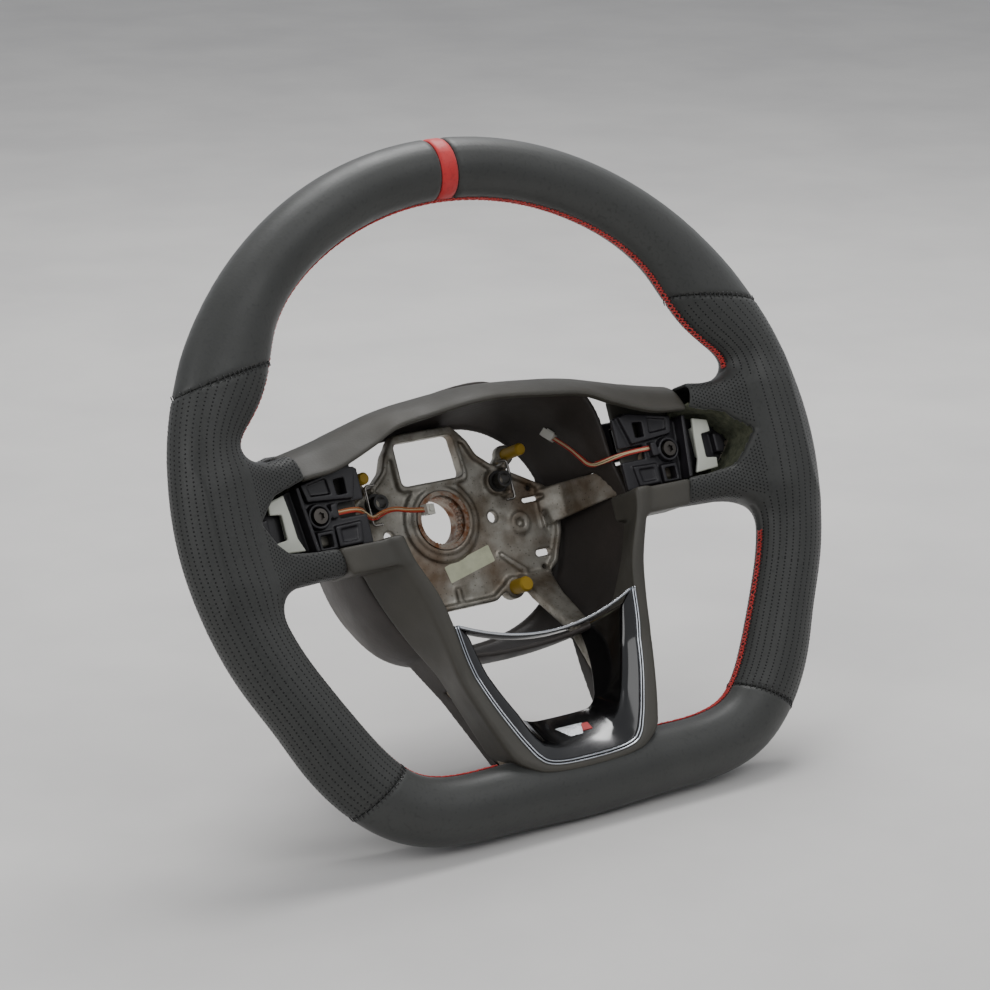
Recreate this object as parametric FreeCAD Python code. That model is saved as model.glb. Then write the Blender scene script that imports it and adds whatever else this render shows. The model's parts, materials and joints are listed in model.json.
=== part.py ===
import FreeCAD, Part
import math
import os

# A flat-bottomed road-car steering wheel, with its airbag and switch modules taken out.
# Millimetres. X is to the driver's right, Y away from the driver, Z up the wheel.
# The functions work in the rim's frame: its origin is the centre of the rim circle, in the
# rim's mid-plane, so a depth is a distance behind the rim. save() moves every piece so that
# the origin is on the hub's axis, in the middle of its plain bore.

RIM_TO_HUB = 85.0

# Rim: angle from twelve o'clock, centre-line radius, half width seen from the front.
RIM_KEYS = [
    (0, 168.5, 16.0),
    (30, 169.3, 16.3),
    (50, 168.5, 19.0),
    (61, 166.8, 21.8),
    (72, 171.0, 17.4),
    (80, 169.5, 18.5),
    (90, 168.0, 19.4),
    (100, 167.0, 18.9),
    (110, 166.4, 18.2),
    (120, 165.9, 18.0),
    (128, 168.6, 18.8),
    (136, 171.6, 18.2),
    (144, 171.4, 17.2),
    (152, 164.3, 16.8),
    (162, 153.4, 17.0),
    (180, 146.4, 18.0),
]
RIM_HALF_DEPTH = 14.5
LEATHER = 1.2
HOOP_RADIUS = 6.0
RIM_STEP = 8.0
THREAD_RADIUS = 0.4
THREAD_GAP = 0.05
UPPER_THREAD = (0, 75)
LOWER_THREAD = (108, 163)
BAND_HALF_WIDTH = 5.0
UPPER_SEAM = [(117.0, 85.0), (168.5, 76.5)]
LOWER_SEAM = [(101.0, -118.5), (130.0, -136.5)]

# Side spokes: station, then the leather's lowest, highest, front and rear faces.
SPOKE_STATIONS = [
    (103.0, -22.5, 42.5, -2.0, 22.0),
    (128.0, -23.5, 38.5, -5.0, 21.0),
    (147.0, -26.5, 38.2, -8.5, 20.0),
    (162.0, -29.0, 38.0, -11.0, 13.0),
]
SPOKE_SEAM = [(104.6, -10.4), (115.0, 26.4)]
RECESS = [
    (96.0, -9.5), (96.0, 29.0), (118.0, 25.6), (134.0, 21.0), (147.0, 8.5), (139.0, -2.5),
    (133.0, -7.5), (118.0, -9.0),
]
RECESS_DEPTH = 15.5
RECESS_INNER_DEPTH = 17.0
RECESS_INNER_END = 118.5

# Armature plate behind the hub opening.
PLATE_FRONT = 74.0
PLATE_BACK = 82.0
PLATE_FLANGE = 3.0
PLATE_RECESS = 3.0
PLATE_HALF = [
    (17.6, 48.5), (25.5, 39.0), (29.0, 31.0), (36.0, 25.0), (50.0, 17.0), (66.0, 8.0), (72.0, -5.0),
    (70.0, -18.0), (63.0, -33.5), (49.0, -43.5), (35.0, -41.5), (28.0, -42.5), (21.0, -47.0),
]
PLATE_WINDOW = [(-18.7, 44.0), (17.0, 44.0), (18.7, 21.0), (-18.7, 21.0)]
HUB_FRONT = 73.7
HUB_BACK = 89.0
HUB_BOSS_RADIUS = 22.0
HUB_RING_RADIUS = 18.0
INSERT_RADIUS = 15.5
INSERT_MOUTH_RADIUS = 13.2
INSERT_MOUTH_END = 76.0
SPLINE_ROOT_RADIUS = 12.5
SPLINE_TIP_RADIUS = 11.9
SPLINE_COUNT = 40
PILOT_START = 81.0
PILOT_RADIUS = 12.6

BUSH_X = 38.0
BUSH_Z = 14.6
BUSH_FRONT = 66.6
BUSH_RADIUS = 4.25
BUSH_HOLE_RADIUS = 3.0

# Hub housing: the moulded skin in front, the hard rear cover behind, parted at one depth.
PARTING = 24.0
COVER_BACK = 84.8
COVER_WALL = 2.6
COVER_FLANGE = 4.5
COVER_PADS = [(57.5, 8.5, 70.5), (56.0, -34.5, 67.0)]
COVER_LEG = [
    (-66, 43, 58, PARTING, 50), (-92, 38, 47, PARTING, 40), (-112, 34, 42.5, 21, 30),
    (-130, 31, 39, 15.5, 20),
]
COVER_LEG_HOLLOW = [(-60, 45, 54, 20, 47), (-92, 40, 44.5, 20, 37), (-112, 36, 40, 18, 27)]
SKIN_WALL = 4.5
COVER_OUTLINES = [
    (PARTING, [
        (18, 60.5), (50, 56), (69, 50), (77, 34), (79, 12), (84, -12), (81, -30), (73, -48),
        (61, -65), (40, -73), (14, -76)]),
    (50.0, [
        (18, 60), (48, 55), (66, 46), (75, 31), (79, 12), (84, -12), (81, -34), (74, -52),
        (61, -67), (38, -75), (14, -78)]),
    (74.0, [
        (18, 56), (44, 51), (61, 41), (71, 27), (76, 10), (78.5, -10), (74.5, -33), (68, -49),
        (57, -62), (38, -70), (14, -74)]),
    (COVER_BACK, [
        (18, 51), (40, 47), (55, 38), (66, 25), (72.5, 9), (74.8, -9), (71.5, -30), (63, -47),
        (51, -58), (34, -66), (13, -70)]),
]

# Lower skin: the right half of its outer edge and of the opening inside it, in front and behind.
FRONT_OUTLINE = [
    (77, -10.4), (72.5, -23), (64.5, -44), (60.5, -64), (57.5, -85), (51.5, -106), (45.5, -123),
    (41.9, -130.1), (34.5, -135.6), (27, -138.6), (12, -140),
]
FRONT_OPENING = [
    (71.5, -10.4), (66.5, -23), (58, -42), (54.5, -58), (52, -77), (46.5, -97), (39.5, -115),
    (35, -124.5), (31, -131), (25, -135), (12, -136.8),
]
BACK_OUTLINE = [
    (84, -10.4), (81, -27), (74, -45), (65, -62), (54, -80), (47.5, -98), (43, -114), (41, -121),
    (37, -126), (28, -130), (12, -133),
]
BACK_OPENING = [
    (79.2, -10.4), (76, -25), (69, -42), (60, -58), (48.5, -76), (42, -95), (38, -110),
    (35.5, -115.5), (31, -121), (24, -125), (12, -127),
]
LIP_DEPTH = -3.2
LIP_BEND = -85.0
LIP_SLOPE = 0.2

# Upper skin: station, then the height of its front lip and of its crest.
ARCH_STATIONS = [
    (-116, 26.4, 41.5), (-95, 28.5, 46), (-72, 36.5, 52), (-57, 43, 55.5), (-38, 46, 58),
    (0, 49.5, 60.5), (38, 46, 58), (57, 43, 55.5), (72, 36.5, 52), (95, 28.5, 46), (116, 26.4, 41.5),
]

# Lower trim: the right half of its front edge, its lip and its slanted rear edge.
TRIM_FRONT = [
    (52.2, -58.3), (49.7, -76.5), (44.2, -96.3), (37.2, -113.8), (32.8, -122.8), (29, -128.8),
    (23.8, -132.6), (12, -134.3),
]
TRIM_LIP = [
    (45.5, -66), (42, -80), (37, -94), (31.5, -107), (27.5, -115.5), (24, -121), (19.5, -125),
    (10, -127.5),
]
TRIM_BACK = [
    (39.5, -72), (36.5, -83), (32, -94), (26.5, -104), (24, -107.5), (21, -110), (16.5, -112),
    (8, -112.5),
]
TRIM_WALL = 1.8
TRIM_MIDDLE = -88.0
CHIN_BEND = -107.0
BAR_ENDS = 52.0
BAR_HEIGHT = -58.0
BAR_SAG = 12.0
STRIP = (-0.8, 1.8)
BADGE_TILT = 45.0
BADGE_DEPTH = 0.0

# Armature arms. Side arm: x, depth from and to, z from and to. Lower arm: z, x and depth.
SIDE_ARM = [
    (60, 75, 82, -14, 6), (70, 66, 76, -12, 7), (80, 40, 50, -9, 6.5), (88, 20, 28, -8, 7),
    (95, 17.2, 20.5, -6, 12), (116, 17.2, 20.5, -6, 12), (123, 16.6, 19.8, -6, 10),
    (140, 15.8, 18.6, -6, 8), (147, 14.6, 17.8, -6, 8), (156, 5, 12, -6, 8), (164, -4, 4, -5, 6),
]
LOWER_ARM = [
    (-36, 38, 58, 76, 82), (-50, 40, 54, 62, 72), (-72, 40, 51, 36, 45), (-95, 37, 46, 20, 28),
    (-120, 33, 41, 8, 16), (-144, 28, 38, -4, 4),
]

# Paddles: hinge axis (x, depth), and the switch that each one presses.
HINGE = (88.0, 31.0)
HINGE_RADIUS = 4.2
PIN_RADIUS = 2.0
PIN_CLEARANCE = 0.05
BARREL = (12.0, 26.0)
EAR_GAP = 0.3
EAR_THICKNESS = 3.2
PADDLE_FRONT = 28.0
PADDLE_THICKNESS = 3.0
PADDLE = [
    (94, -9), (94, 30), (98, 39.5), (106, 43.2), (117, 43.8), (127, 41.3), (133, 37), (134.5, 28),
    (133, 6), (128.5, -9), (119, -14), (100, -14),
]
SWITCH_X = 102.0
SWITCH_Z = 14.0
SWITCH_FRONT = 25.3
PLUNGER_RADIUS = 1.5
PLUNGER = (23.2, 27.85)
SPRING_X = 98.5
SPRING_Z = 0.0
SPRING_RADIUS = 2.4
SPRING_WIRE = 0.35
SPRING_TURNS = 4

# Switch carriers and their pieces.
CARRIER_FRONT = 14.0
CARRIER_BACK = 17.0
CARRIER_SCREW = (105.1, 8.5)
CLIP_X = 94.5
LEAD_WIDTH = 3.0

# Leads: hand-set routes of the two flat ribbons, as (x, depth, z).
LEAD_LEFT = [
    (-94.5, 12.2, 8.7), (-86.5, 12.9, 9.2), (-78.2, 17.3, 8.4), (-71.0, 26.2, 6.5), (-63.0, 34.5, 4.4),
    (-53.5, 40.5, 7.3), (-42.5, 46.5, 8.4), (-30.5, 53.5, 6.6), (-18.5, 59.5, 6.1),
]
LEAD_RIGHT = [
    (94.5, 12.2, 10.9), (86.0, 13.0, 11.0), (78.0, 17.5, 10.6), (72.8, 27.0, 9.4), (72.0, 37.0, 9.7),
    (71.6, 43.8, 16.4), (69.6, 48.8, 22.8), (65.8, 54.5, 29.4),
]

UP = FreeCAD.Vector(0, 0, 1)
DEPTH = FreeCAD.Vector(0, 1, 0)
RIGHT = FreeCAD.Vector(1, 0, 0)
FAR = 400.0


def point(x, y, z):
    return FreeCAD.Vector(x, y, z)


def box(x0, x1, y0, y1, z0, z1):
    return Part.makeBox(x1 - x0, y1 - y0, z1 - z0, point(x0, y0, z0))


def disc(x, z, radius, y0, y1):
    """A cylinder along the depth."""
    return Part.makeCylinder(radius, y1 - y0, point(x, y0, z), DEPTH)


def polygon(points, depth):
    corners = [point(x, depth, z) for x, z in points]
    return Part.makePolygon(corners + corners[:1])


def rounded(points, radius, depth):
    """A closed outline at one depth, with every corner rounded."""
    corners = [point(x, depth, z) for x, z in points]
    turns = []
    for index, corner in enumerate(corners):
        before = corners[index - 1] - corner
        after = corners[(index + 1) % len(corners)] - corner
        half = before.getAngle(after) / 2
        reach = min(radius / math.tan(half), 0.45 * before.Length, 0.45 * after.Length)
        arc_radius = reach * math.tan(half)
        before.normalize()
        after.normalize()
        bisector = (before + after).normalize()
        middle = corner + bisector * (arc_radius / math.sin(half) - arc_radius)
        turns.append((corner + before * reach, middle, corner + after * reach))
    edges = []
    for index, (start, middle, finish) in enumerate(turns):
        edges.append(Part.Arc(start, middle, finish).toShape())
        edges.append(Part.LineSegment(finish, turns[(index + 1) % len(turns)][0]).toShape())
    return Part.Wire(edges)


def prism(outline, length):
    """A closed outline pushed away from the driver."""
    return Part.Face(outline).extrude(DEPTH * length)


def flat(points, y0, y1, radius=0.0):
    outline = rounded(points, radius, y0) if radius else polygon(points, y0)
    return prism(outline, y1 - y0)


def both_sides(half):
    """The right half of an outline, from its top to its bottom, with its mirror image."""
    return half + [(-x, z) for x, z in reversed(half) if x]


def egg(half, depth):
    """A smooth closed outline through the points of a right half and its mirror image."""
    curve = Part.BSplineCurve()
    curve.interpolate([point(x, depth, z) for x, z in both_sides(half)], PeriodicFlag=True)
    return Part.Wire([curve.toShape()])


def loft(sections, ruled=True):
    return Part.makeLoft(sections, True, ruled)


def mirror(shape):
    return shape.mirror(point(0, 0, 0), RIGHT)


def fuse(shapes):
    return shapes[0].multiFuse(shapes[1:]).removeSplitter()


def band(stations):
    """A bar lofted through closed outlines, each given as its corners."""
    sections = []
    for corners in stations:
        vertices = [point(*corner) for corner in corners]
        sections.append(Part.makePolygon(vertices + vertices[:1]))
    return loft(sections)


def beam_along_x(stations):
    """A bar through upright rectangles: each station is x, y0, y1, z0, z1."""
    return band([[(x, y0, z0), (x, y1, z0), (x, y1, z1), (x, y0, z1)] for x, y0, y1, z0, z1 in stations])


def beam_along_z(stations):
    """A bar through level rectangles: each station is z, x0, x1, y0, y1."""
    return band([[(x0, y0, z), (x1, y0, z), (x1, y1, z), (x0, y1, z)] for z, x0, x1, y0, y1 in stations])


def beyond_seam(seam, side):
    """A large block above (side 1) or below (side -1) a seam line and its mirror image."""
    (x0, z0), (x1, z1) = seam
    slope = (z1 - z0) / (x1 - x0)
    middle = z0 - slope * x0
    end = middle + slope * FAR
    edge = side * 2 * FAR
    return flat([(0, middle), (FAR, end), (FAR, edge), (-FAR, edge), (-FAR, end)], -FAR, FAR)


def rim_stations():
    """Along the right half of the rim: centre, direction, way outward and half width."""
    knots = []
    for angle, radius, half_width in RIM_KEYS:
        turn = math.radians(angle)
        knots.append(point(radius * math.sin(turn), half_width, radius * math.cos(turn)))
    curve = Part.BSplineCurve()
    curve.interpolate(knots, InitialTangent=RIGHT, FinalTangent=-RIGHT)
    stations = []
    for index, knot in enumerate(knots):
        start = curve.parameter(knot)
        steps = 1
        end = start
        if index < len(knots) - 1:
            end = curve.parameter(knots[index + 1])
            steps = math.ceil((RIM_KEYS[index + 1][0] - RIM_KEYS[index][0]) / RIM_STEP)
        for step in range(steps):
            value = start + (end - start) * step / steps
            place = curve.value(value)
            along = curve.tangent(value)[0]
            along = point(along.x, 0, along.z).normalize()
            outward = point(-along.z, 0, along.x)
            stations.append((point(place.x, 0, place.z), along, outward, place.y))
    return stations


def rim_ring(shrink, radius=None):
    """The whole closed rim, smaller by shrink all round, or a round hoop along its middle."""
    sections = []
    for centre, along, outward, half_width in rim_stations():
        if radius:
            ring = Part.Circle(centre, along, radius)
        else:
            wide = centre + outward * (half_width - shrink)
            deep = centre + DEPTH * (RIM_HALF_DEPTH - shrink)
            ring = Part.Ellipse(wide, deep, centre)
        sections.append(Part.Wire([ring.toShape()]))
    left = [mirror(section) for section in reversed(sections[1:-1])]
    return Part.makeLoft(sections + left, True, True, True)


def spoke_block(shrink):
    """The right side spoke's wrapped end, made smaller by shrink all round."""
    sections = []
    for x, low, high, front, back in SPOKE_STATIONS:
        radius = 8.0 - shrink
        low, high, front, back = low + shrink, high - shrink, front + shrink, back - shrink
        corners = [
            point(x, front + radius, low), point(x, back - radius, low), point(x, back, low + radius),
            point(x, back, high - radius), point(x, back - radius, high), point(x, front + radius, high),
            point(x, front, high - radius), point(x, front, low + radius),
        ]
        sections.append(Part.makePolygon(corners + corners[:1]))
    return loft(sections)


def spoke_seam_block():
    """Everything inboard of the slanted seam where the spoke's leather ends."""
    (x0, z0), (x1, z1) = SPOKE_SEAM
    slope = (x1 - x0) / (z1 - z0)
    low = x0 + slope * (-60 - z0)
    high = x0 + slope * (60 - z0)
    return flat([(0, -60), (low, -60), (high, 60), (0, 60)], -60, 60)


def wrapped_rim(shrink):
    """The rim with both side spokes' ends, opened at the switch recesses."""
    spoke = spoke_block(shrink).cut(spoke_seam_block())
    recess = flat(RECESS, -30, RECESS_DEPTH, 3.0)
    inner = recess.common(box(0, RECESS_INNER_END, -30, 0, -FAR, FAR))
    inner.translate(DEPTH * RECESS_INNER_DEPTH)
    recess = recess.fuse(inner)
    return rim_ring(shrink).fuse([spoke, mirror(spoke)]).cut([recess, mirror(recess)])


def armature_arms():
    arms = fuse([beam_along_x(SIDE_ARM), beam_along_z(LOWER_ARM)])
    return arms.fuse(mirror(arms))


def armature():
    outline = rounded(both_sides(PLATE_HALF), 3.0, PLATE_FRONT)
    plate = prism(outline, PLATE_BACK - PLATE_FRONT)
    inset = Part.Face(outline).makeOffset2D(-PLATE_FLANGE)
    plate = plate.cut(inset.extrude(DEPTH * PLATE_RECESS))
    floor = PLATE_FRONT + PLATE_RECESS
    window_frame = flat([(-21.5, 47), (19.8, 47), (21.5, 18.2), (-21.5, 18.2)], PLATE_FRONT, PLATE_BACK, 4.0)
    solids = [plate, window_frame, disc(0, 0, HUB_BOSS_RADIUS, PLATE_FRONT + 1, HUB_BACK - 1)]
    solids.append(disc(0, 0, HUB_RING_RADIUS, HUB_FRONT, HUB_BACK))
    for side in (-1, 1):
        solids.append(disc(side * BUSH_X, BUSH_Z, 7.0, PLATE_FRONT, PLATE_BACK))
        solids.append(disc(side * 33.5, -42, 6.0, PLATE_FRONT, PLATE_BACK))
        solids.append(disc(side * 48, 28, 5.5, floor, PLATE_BACK))
        lug = [(side * 36, 22), (side * 44, 17), (side * 52, 25), (side * 46, 31)]
        solids.append(flat(lug, floor, PLATE_BACK))
        solids.append(disc(side * 47, -9, 6.0, PLATE_FRONT + 1.5, PLATE_BACK))
        for z in (7.5, 21.7):
            solids.append(disc(side * 40.5, z, 1.7, 68.0, PLATE_BACK))
        rib = [(side * 29, -24), (side * 30.5, -22), (side * 45, -34), (side * 43, -37)]
        solids.append(flat(rib, PLATE_FRONT + 1, PLATE_BACK))
    solids.append(flat([(-1.5, -36), (1.5, -36), (1.5, -46), (-1.5, -46)], PLATE_FRONT + 1, PLATE_BACK))
    casting = fuse(solids + [armature_arms()])
    holes = [flat(PLATE_WINDOW, 60, 100, 3.0), disc(0, 0, INSERT_RADIUS, 60, 100)]
    for side in (-1, 1):
        holes.append(disc(side * BUSH_X, BUSH_Z, 3.6, 60, 100))
        holes.append(disc(side * 32, -3, 3.0, 60, 100))
        for x, z, _ in COVER_PADS:
            holes.append(disc(side * x, z, 1.55, 70, 100))
        for low, high, x0, x1 in ((8.0, 10.5, 52, 63), (-21.5, -18.0, 53, 62)):
            holes.append(flat([(side * x0, low - 7), (side * x1, low - 7), (side * x1, high - 7),
                               (side * x0, high - 7)], 60, 100))
        holes.append(flat([(side * 61, -5), (side * 63, -5), (side * 64, -17), (side * 62.5, -17)], 60, 100))
        holes.append(disc(side * 47, -9, 2.2, 60, 78.5))
        holes.append(disc(side * CARRIER_SCREW[0], CARRIER_SCREW[1], 2.05, 5, 21))
    return casting.cut(holes).cut(rim_ring(0, HOOP_RADIUS))


def hub_insert():
    body = disc(0, 0, INSERT_RADIUS, HUB_FRONT, HUB_BACK)
    mouth = disc(0, 0, INSERT_MOUTH_RADIUS, HUB_FRONT - 1, INSERT_MOUTH_END)
    pilot = disc(0, 0, PILOT_RADIUS, PILOT_START, HUB_BACK + 1)
    star = []
    for tooth in range(SPLINE_COUNT):
        for part, radius in enumerate((SPLINE_TIP_RADIUS, SPLINE_ROOT_RADIUS)):
            turn = 2 * math.pi * (tooth + part / 2) / SPLINE_COUNT
            star.append((radius * math.cos(turn), radius * math.sin(turn)))
    return body.cut(mouth).cut(pilot).cut(flat(star, INSERT_MOUTH_END - 1, PILOT_START + 1))


def rim_parts():
    """The hoop, the foam over it and the six pieces of leather."""
    hoop = rim_ring(0, HOOP_RADIUS)
    foam_body = wrapped_rim(LEATHER)
    arms = armature_arms()
    foam = foam_body.cut(hoop).cut(arms)
    shell = wrapped_rim(0).cut(foam_body).cut(arms)
    above = beyond_seam(UPPER_SEAM, 1)
    below = beyond_seam(LOWER_SEAM, -1)
    band = box(-BAND_HALF_WIDTH, BAND_HALF_WIDTH, -FAR, FAR, 0, FAR)
    right = box(0, FAR, -FAR, FAR, -FAR, FAR)
    top = shell.common(above).cut(band).common(right)
    grip = shell.cut(above).cut(below).common(right)
    return {
        "rim_hoop": hoop, "rim_foam": foam, "leather_top_right": top, "leather_top_left": mirror(top),
        "leather_grip_right": grip, "leather_grip_left": mirror(grip), "leather_bottom": shell.common(below),
        "leather_red_band": shell.common(above).common(band),
    }


def thread_rings(first, last):
    """Small circles just inside the rim's inner edge, between two angles from twelve o'clock."""
    rings = []
    for centre, along, outward, half_width in rim_stations():
        if first <= math.degrees(math.atan2(centre.x, centre.z)) <= last:
            seat = centre - outward * (half_width + THREAD_RADIUS + THREAD_GAP)
            rings.append(Part.Wire([Part.Circle(seat, along, THREAD_RADIUS).toShape()]))
    return rings


def stitching():
    """The sewn seam's thread, a low bead along the rim's inner edge between the spokes."""
    upper = thread_rings(*UPPER_THREAD)
    lower = loft(thread_rings(*LOWER_THREAD))
    across = loft([mirror(ring) for ring in reversed(upper[1:])] + upper)
    return Part.makeCompound([across, lower, mirror(lower)])


def upper_skin():
    """The arched skin over the hub, with the wall behind each side spoke."""
    sections = []
    for x, lip, crest in ARCH_STATIONS:
        back = PARTING if abs(x) < 90 else 21.5
        corners = [
            point(x, -1.0, lip), point(x, 1.5, lip + 3.5), point(x, 9, lip + 0.72 * (crest - lip)),
            point(x, 18, crest), point(x, back, crest + 0.5), point(x, back, crest - SKIN_WALL),
            point(x, 18, crest - SKIN_WALL - 0.5), point(x, 4, lip - 1.0),
        ]
        sections.append(Part.makePolygon(corners + corners[:1]))
    arch = loft(sections)
    wall = box(80, 116, 19.0, 21.5, -10.4, 40)
    seam = spoke_seam_block()
    arch = fuse([arch, wall, mirror(wall)])
    inboard = seam.fuse(mirror(seam))
    return arch.common(inboard).cut(armature_arms())


def front_depth(z):
    """The lower spoke's front edge: level at first, then leaning forward over the rim."""
    return LIP_DEPTH - LIP_SLOPE * max(0.0, LIP_BEND - z)


def lower_skin():
    """The moulded skin around the lower trim, with the shelf under each side spoke."""
    edges = [both_sides(half) for half in (FRONT_OUTLINE, BACK_OUTLINE, BACK_OPENING, FRONT_OPENING)]
    sections = []
    for outer, outer_back, inner_back, inner in zip(*edges):
        sections.append([
            (outer[0], front_depth(outer[1]), outer[1]), (outer_back[0], PARTING, outer_back[1]),
            (inner_back[0], PARTING, inner_back[1]), (inner[0], front_depth(inner[1]), inner[1]),
        ])
    shelf = box(74, 110, -2.0, 21.5, -22.5, -10.4).common(spoke_seam_block())
    skin = fuse([band(sections), shelf, mirror(shelf)])
    profile = ((60, -95), (PARTING, -95), (12, -142), (12, -170), (60, -170))
    behind = band([[(x, depth, z) for depth, z in profile] for x in (-FAR, FAR)])
    return skin.cut(behind).cut(rim_ring(0)).cut(trim_strip()).cut(armature_arms())


def inward(half, wall):
    """The right half of an outline, moved towards the hub's axis by the wall's thickness."""
    moved = []
    for x, z in half:
        scale = 1 - wall / math.hypot(x, z)
        moved.append((x * scale, z * scale))
    return moved


def cover_form():
    """The rear cover's outer form, as if it were solid."""
    return loft([egg(half, depth) for depth, half in COVER_OUTLINES], ruled=False)


def rear_cover():
    outer = cover_form()
    inner = loft([egg(inward(half, COVER_WALL), depth - (COVER_WALL if depth == COVER_BACK else 0))
                  for depth, half in COVER_OUTLINES], ruled=False)
    leg = beam_along_z(COVER_LEG)
    leg_hollow = beam_along_z(COVER_LEG_HOLLOW)
    shell = fuse([outer.cut(inner), leg, mirror(leg)])
    back_outline = COVER_OUTLINES[-1][1]
    opening = prism(egg(inward(back_outline, COVER_FLANGE), COVER_BACK - 2 * COVER_WALL), 4 * COVER_WALL)
    shell = shell.cut([leg_hollow, mirror(leg_hollow), opening])
    pads = []
    for x, z, wall in COVER_PADS:
        pads.append(disc(x, z, 4.0, PLATE_BACK, COVER_BACK - 0.2))
        pads.append(box(x, wall, PLATE_BACK, COVER_BACK - 0.2, z - 2.5, z + 2.5))
    pads = fuse(pads)
    shell = fuse([shell, pads, mirror(pads)])
    for x, z, _ in COVER_PADS:
        hole = disc(x, z, 1.75, 60, 100)
        shell = shell.cut([hole, mirror(hole)])
    return shell.cut(armature_arms()).cut(rim_ring(0))


def cover_screws():
    screws = []
    seat = COVER_BACK - 0.2
    for x, z, _ in COVER_PADS:
        head = disc(x, z, 3.4, seat, seat + 2.2)
        socket = Part.Face(hexagon(x, z, 1.8, seat + 0.8)).extrude(DEPTH * 2)
        screw = head.fuse(disc(x, z, 1.5, PLATE_BACK - 4, seat)).cut(socket)
        screws.extend([screw, mirror(screw)])
    return Part.makeCompound(screws)


def trim_depth(z):
    """The trim's slanted rear edge: deep at its top, shallow over the chin."""
    return 9.0 + (z + 112.0) * 0.63


def lip_depth(z):
    """Just behind the front edge at the sides, deeper over the chin."""
    return front_depth(z) + 2.0 + 0.14 * max(0.0, CHIN_BEND - z)


def outset(x, z, distance):
    """A point moved away from the middle of the trim's opening."""
    reach = math.hypot(x, z - TRIM_MIDDLE)
    return x * (1 + distance / reach), z + (z - TRIM_MIDDLE) * distance / reach


def lower_trim():
    """The gloss frame around the opening between the lower spokes, with its thin top bar."""
    sections = []
    for front, lip, back in zip(both_sides(TRIM_FRONT), both_sides(TRIM_LIP), both_sides(TRIM_BACK)):
        lip_out = outset(*lip, TRIM_WALL)
        back_out = outset(*back, TRIM_WALL)
        sections.append([
            (front[0], front_depth(front[1]), front[1]), (lip[0], lip_depth(lip[1]), lip[1]),
            (back[0], trim_depth(back[1]), back[1]), (back_out[0], trim_depth(back[1]), back_out[1]),
            (lip_out[0], lip_depth(lip[1]) + TRIM_WALL, lip_out[1]),
            (front[0], front_depth(front[1]) + TRIM_WALL, front[1]),
        ])
    bar = []
    for step in range(-4, 5):
        x = BAR_ENDS * step / 4
        z = BAR_HEIGHT - BAR_SAG * (1 - (x / BAR_ENDS) ** 2)
        bar.append([(x, LIP_DEPTH, z), (x, 2.0, z - 1.0), (x, 2.0, z - 2.8), (x, LIP_DEPTH, z - 1.8)])
    frame = fuse([band(sections), band(bar)])
    return frame.cut([cover_form(), rim_ring(0)])


def hexagon(x, z, radius, depth):
    turns = [math.radians(60 * corner) for corner in range(6)]
    return polygon([(x + radius * math.cos(turn), z + radius * math.sin(turn)) for turn in turns], depth)


def arc_path(points, bend=None):
    """Straight runs joined by tangent arcs: of one radius, or each as large as its runs allow."""
    corners = [point(*corner) for corner in points]
    edges = []
    radii = []
    start = corners[0]
    for before, corner, after in zip(corners, corners[1:], corners[2:]):
        back = before - corner
        ahead = after - corner
        half = back.getAngle(ahead) / 2
        radius = bend or 0.45 * min(back.Length, ahead.Length) * math.tan(half)
        reach = radius / math.tan(half)
        back.normalize()
        ahead.normalize()
        middle = corner + (back + ahead).normalize() * (radius / math.sin(half) - radius)
        edges.append(Part.LineSegment(start, corner + back * reach).toShape())
        start = corner + ahead * reach
        edges.append(Part.Arc(corner + back * reach, middle, start).toShape())
        radii.append(round(radius, 1))
    edges.append(Part.LineSegment(start, corners[-1]).toShape())
    return Part.Wire(edges), corners, radii


def tube(path, corners, radius):
    ring = Part.Wire([Part.Circle(corners[0], corners[1] - corners[0], radius).toShape()])
    return path.makePipeShell([ring], True, False)


def carrier():
    """The right switch module's carrier, screwed to the armature's arm behind it."""
    outline = [(77, -9), (77, 29), (84, 31.5), (112, 26), (115, 22), (111, -8.9)]
    back = flat(outline, CARRIER_FRONT, CARRIER_BACK)
    upper = flat([(79.5, 29.5), (85, 30.8), (111.5, 25.5), (109.5, 16.5), (84, 14.5)], 11, CARRIER_FRONT)
    upper = upper.cut(flat([(97, 26.6), (108, 24.4), (107, 19), (96, 18.5)], 10, 12.5))
    lower = flat([(82, 3), (97, 2.5), (97, -8), (83.5, -8)], 12, CARRIER_FRONT)
    lower = lower.cut(flat([(85, 1), (94.5, 0.6), (94.5, -6), (86, -6)], 11, 13))
    socket = flat([(98.5, 1), (108.5, 1), (108.5, -8.5), (98.5, -8.5)], 11, CARRIER_FRONT)
    boss = disc(*CARRIER_SCREW, 6.3, 10, CARRIER_BACK)
    wall = flat([(111, -8.9), (115, 24.5), (117, 24), (113.2, -8.9)], 6, CARRIER_BACK)
    tray = flat([(112.5, -7.5), (116.5, 24.2), (133, 19.5), (144.5, 8.5), (138, -1), (132, -6)], 13.2, 15.2)
    block = flat([(134, 2), (134, 12), (138.5, 11), (140, 5), (138, 1)], 9, 13.2)
    clip = box(CLIP_X, CLIP_X + 3.6, 10, CARRIER_FRONT, 6.2, 13.4)
    body = fuse([back, upper, lower, socket, boss, wall, tray, block, clip])
    body = body.cut(disc(*CARRIER_SCREW, 4.8, 9, 11.6)).cut(disc(*CARRIER_SCREW, 2.3, 5, 20))
    body = body.cut(flat([(87, 17.5), (87, 25.5), (93, 25), (92.5, 17.5)], 5, 20))
    body = body.cut(flat([(100.5, -1), (106.8, -1), (106.8, -7), (100.5, -7)], 5, 20))
    return body.cut(box(70, 92, 13.2, 18, 6.2, 13.4))


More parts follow.
